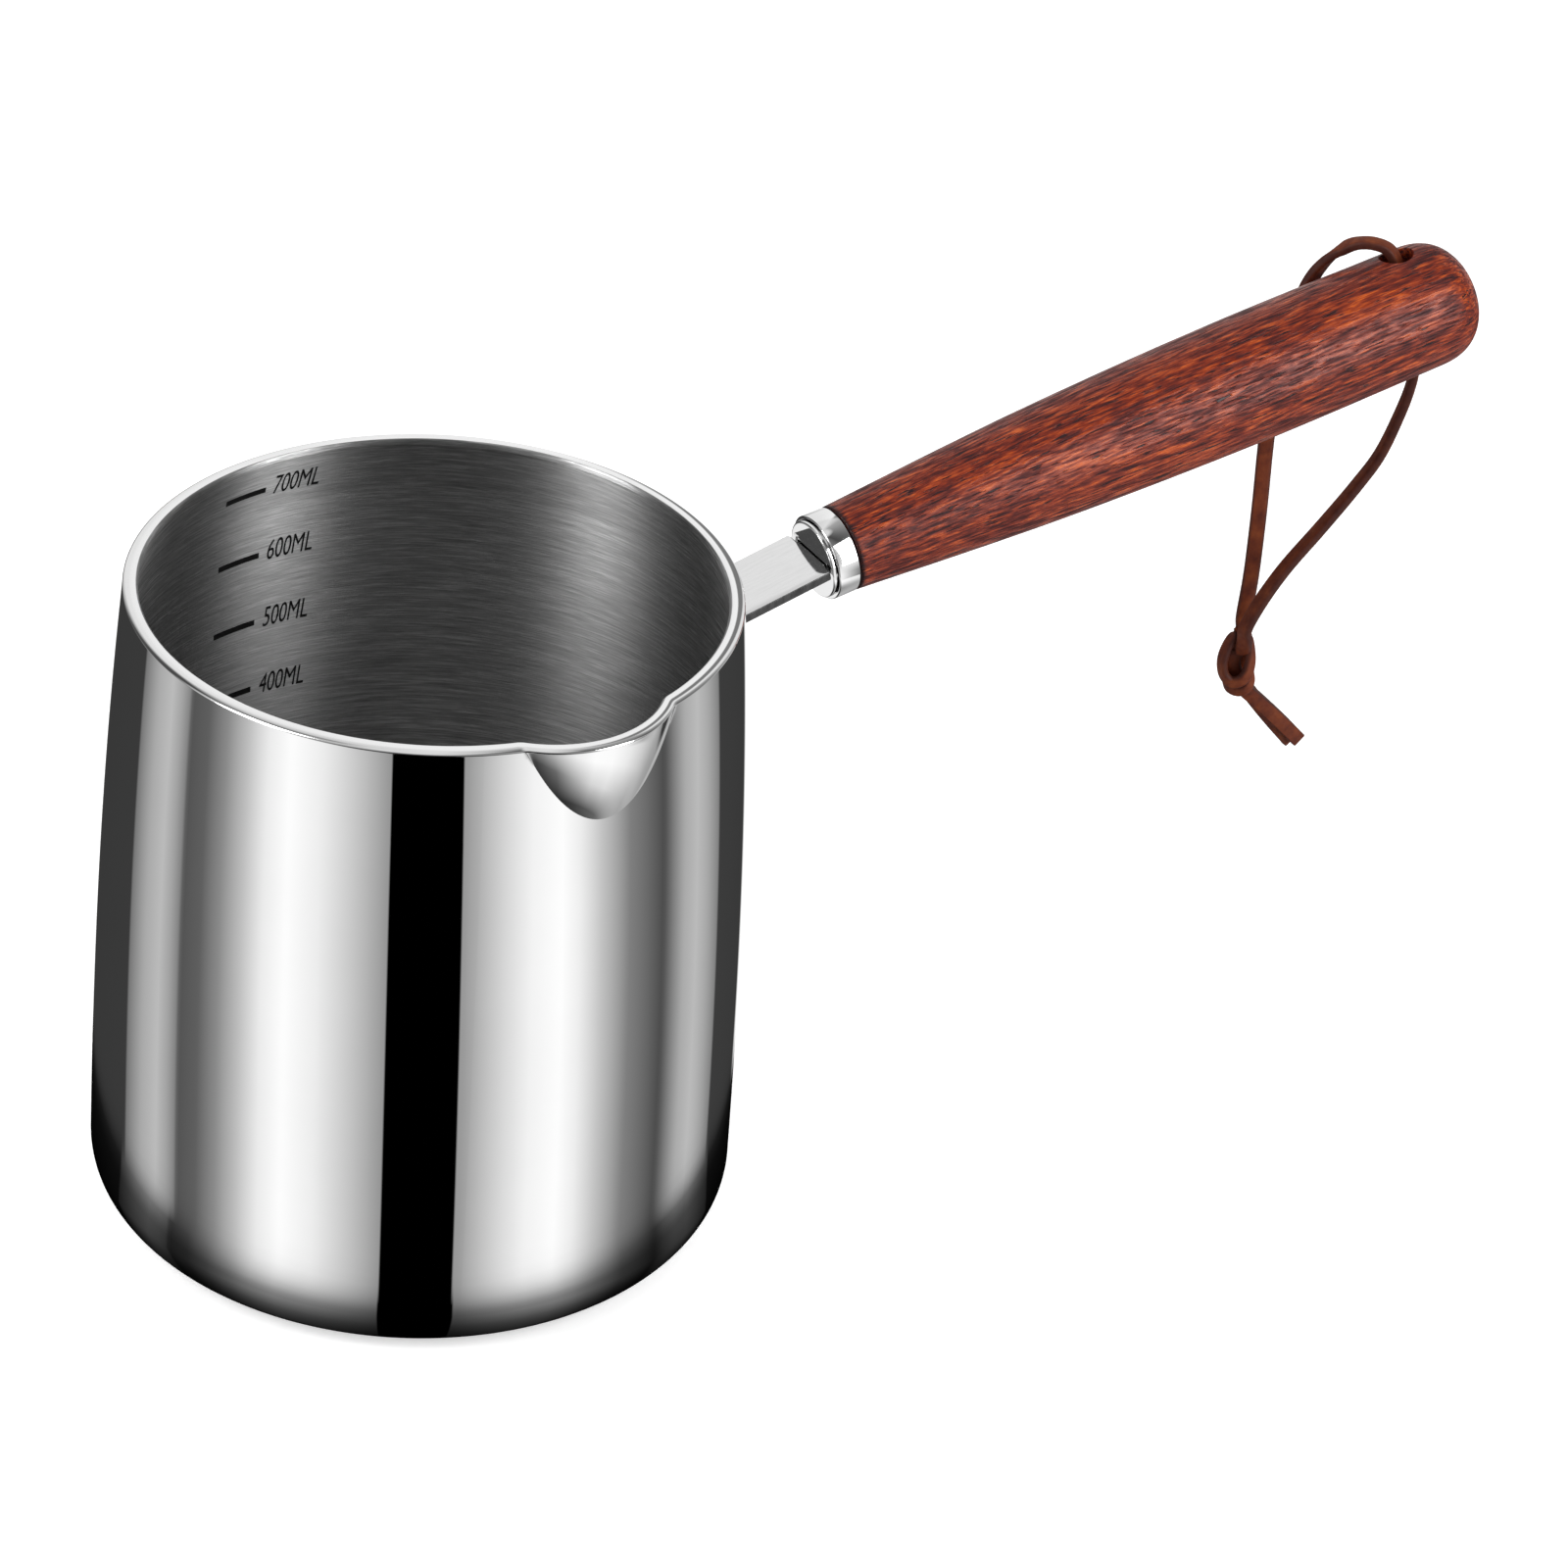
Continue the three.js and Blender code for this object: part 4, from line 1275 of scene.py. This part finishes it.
def make_world():
    world = bpy.data.worlds.new("studio")
    bpy.context.scene.world = world
    tree = Shader(world)
    x, y, z = tree.parts(tree.node("TexCoord", "Generated"))
    turn = tree.math("SUBTRACT", tree.math("ARCTAN2", y, x), STUDIO_TURN)
    turn = tree.math("WRAP", turn, math.pi, -math.pi)
    lean = tree.math("MULTIPLY_ADD", tree.math("MAXIMUM", turn, 0.0), LEAN_RIGHT, LEAN)
    leaning = tree.math("MULTIPLY_ADD", lean, tree.math("SUBTRACT", z, LEAN_LEVEL), turn)
    aside = tree.math("ABSOLUTE", turn)
    far = tree.spread(aside, *FAR_SIDE)
    wall = tree.mix(far, wall_light(tree, leaning), (grey(FAR_LEVEL),) * 3)
    above_card = tree.math("SUBTRACT", z, tree.spread(aside, *CARD_HALF, CARD_RISE, 0.0))
    light = (grey(NADIR_LEVEL),) * 3
    for height, fade, upper in (
        (z, LIP_LOWER_FADE, band_light(tree, turn, LIP_LOWER_BANDS)),
        (z, LIP_MIDDLE_FADE, band_light(tree, turn, LIP_MIDDLE_BANDS)),
        (z, LIP_UPPER_FADE, band_light(tree, turn, LIP_UPPER_BANDS)),
        (z, WALL_FADE, wall),
        (z, LOW_FADE, band_light(tree, turn, LOW_BANDS)),
        (above_card, HORIZON_FADE, band_light(tree, turn, UPPER_BANDS)),
        (z, TOP_FADE, band_light(tree, turn, TOP_BANDS)),
        (z, ZENITH_FADE, (grey(ZENITH_LEVEL),) * 3),
    ):
        light = tree.mix(tree.spread(height, *fade), light, upper)
    tree.put(light, tree.nodes["Background"].inputs["Color"])
    tree.nodes["Background"].inputs["Strength"].default_value = 1.0


make_world()

FLOOR_HALF = 6.0
FLOOR_DROP = 0.0003
FLOOR_GLOW = 0.5


def flat_piece(name, outline, drop, material):
    """A flat face below the part, given in metres."""
    mesh = bpy.data.meshes.new(name)
    mesh.from_pydata([(x, y, -drop) for x, y in outline], [], [tuple(range(len(outline)))])
    mesh.materials.append(material)
    return add(name, mesh)


def floor_white():
    """White paper with a little light of its own, which the camera and mirrors see."""
    tree = material_tree("floor_white")
    paper = tree.noise(tree.place(), 30.0, 2.0, 0.5)
    path = tree.nodes.new("ShaderNodeLightPath").outputs
    seen = tree.math("MAXIMUM", path["Is Camera Ray"], path["Is Glossy Ray"])
    seen = tree.math("MAXIMUM", seen, path["Is Transmission Ray"])
    return tree.finish(
        Roughness=0.9,
        Specular_IOR_Level=0.0,
        Base_Color=tree.ramp(paper, [(0.3, 0.9), (0.7, 0.92)]),
        Emission_Color=(1, 1, 1, 1),
        Emission_Strength=tree.math("MULTIPLY", seen, FLOOR_GLOW),
    )


def make_floor():
    corners = ((-1, -1), (1, -1), (1, 1), (-1, 1))
    outline = [(FLOOR_HALF * x, FLOOR_HALF * y) for x, y in corners]
    floor = flat_piece("floor", outline, FLOOR_DROP, floor_white())
    # The polished wall mirrors the surround in place of the bare floor
    floor.visible_glossy = False


make_floor()

# Painted shade on the floor close round the pan, which only the polished steel mirrors: radius, and shade
SHADE_STOPS = [
    (63.2, 1), (64.2, 0.8), (65.4, 0.58), (66.5, 0.4), (68, 0.2), (70.7, 0.06), (75, 0),
]
# Share of the wall's bands that glows as a painted reflection in the painted shade closest to the pan
SHADE_GLOW = [
    (44, 0.004), (46.4, 0.012), (49.2, 0.033), (50.4, 0.046), (51.9, 0.066), (53.7, 0.1), (56.2, 0.14),
    (59.4, 0.2), (60.6, 0.27), (61.7, 0.37), (63.2, 0.52), (64.2, 0.55), (65.4, 0.57), (75, 0.58),
]
# Towards the sides less of this painted reflection glows
SHADE_SIDE = (math.radians(35), math.radians(85))
SHADE_SIDE_GLOW = 0.45
# Sine of the height from which the wall's foot mirrors the bands
SHADE_LEVEL = -0.6
SHADE_STEPS = 4
# Radius of the wall's foot, as a share of the belly's
SHADE_MIRROR = 0.97
SHADE_RADIUS = 80.0
SHADE_SEGMENTS = 96
SHADE_DROP = 0.0002


def floor_shade():
    """Painted shade: black that thins out away from the pan, and in it a painted reflection of the wall's
    bands, which glows.
    """
    tree = material_tree("floor_shade")
    x, y, _ = tree.parts(tree.place())
    radius = axis_distance(tree, x, y)
    share = tree.math("DIVIDE", radius, SHADE_RADIUS * MM)
    # The angle of this place from the photograph's viewpoint, the same for every view
    camera_turn = math.atan2(CAMERA_PLACE[1], CAMERA_PLACE[0]) - STUDIO_TURN
    turn = tree.math("SUBTRACT", tree.math("ARCTAN2", y, x), STUDIO_TURN + camera_turn)
    turn = tree.math("WRAP", turn, math.pi, -math.pi)
    # The angle of the place on the wall that mirrors it, found in a few steps
    near = tree.math("DIVIDE", BELLY_RADIUS * SHADE_MIRROR * MM, radius)
    place = tree.math("MULTIPLY", turn, 0.5)
    for _ in range(SHADE_STEPS):
        lag = tree.math("ARCSINE", tree.math("MULTIPLY", near, tree.math("SINE", place)))
        place = tree.math("MULTIPLY", tree.math("ADD", turn, lag), 0.5)
    # The wall's band there, which is mirrored at twice that angle
    band_turn = tree.math("MULTIPLY_ADD", place, 2.0, camera_turn + LEAN * (SHADE_LEVEL - LEAN_LEVEL))
    glow = tree.ramp(share, [(r / SHADE_RADIUS, part) for r, part in SHADE_GLOW])
    side = tree.spread(tree.math("ABSOLUTE", turn), *SHADE_SIDE, 1.0, SHADE_SIDE_GLOW)
    glow = tree.math("MULTIPLY", glow, side)
    return tree.finish(
        Roughness=1.0,
        Specular_IOR_Level=0.0,
        Base_Color=(0, 0, 0, 1),
        Alpha=tree.ramp(share, [(r / SHADE_RADIUS, dark) for r, dark in SHADE_STOPS]),
        # The disc glows with the painted reflection, though it is no lamp
        Emission_Color=tree.mix(1.0, wall_light(tree, band_turn), glow, "MULTIPLY"),
        Emission_Strength=1.0,
    )


def make_foot_shade():
    reach = SHADE_RADIUS * MM
    rim = [(reach * math.cos(t), reach * math.sin(t)) for t in full_turn(SHADE_SEGMENTS)]
    shade = flat_piece("foot_shade", rim, SHADE_DROP, floor_shade())
    shade.visible_camera = False
    shade.visible_diffuse = False
    shade.visible_transmission = False
    shade.visible_shadow = False


make_foot_shade()


# Two large soft boxes: their turns from the camera's side in degrees, and their rise
SOFT_BOXES = {"soft_left": -61, "soft_right": 65}
BOX_RISE = math.radians(24)
BOX_DISTANCE = 1.0
BOX_SIZE = (0.4, 1.0)
BOX_WATTS = 7.0


def soft_box(name, turn):
    """A large soft light, aimed at the pan."""
    angle = STUDIO_TURN + math.radians(turn)
    level = math.cos(BOX_RISE)
    way = Vector((math.cos(angle) * level, math.sin(angle) * level, math.sin(BOX_RISE)))
    data = bpy.data.lights.new(name, "AREA")
    data.shape = "RECTANGLE"
    data.size, data.size_y = BOX_SIZE
    data.energy = BOX_WATTS
    light = add(name, data)
    light.location = STUDIO_AIM + way * BOX_DISTANCE
    light.rotation_mode = "QUATERNION"
    light.rotation_quaternion = (-way).to_track_quat("-Z", "Y")


for box_name, box_turn in SOFT_BOXES.items():
    soft_box(box_name, box_turn)

bpy.context.scene.view_settings.view_transform = "Standard"
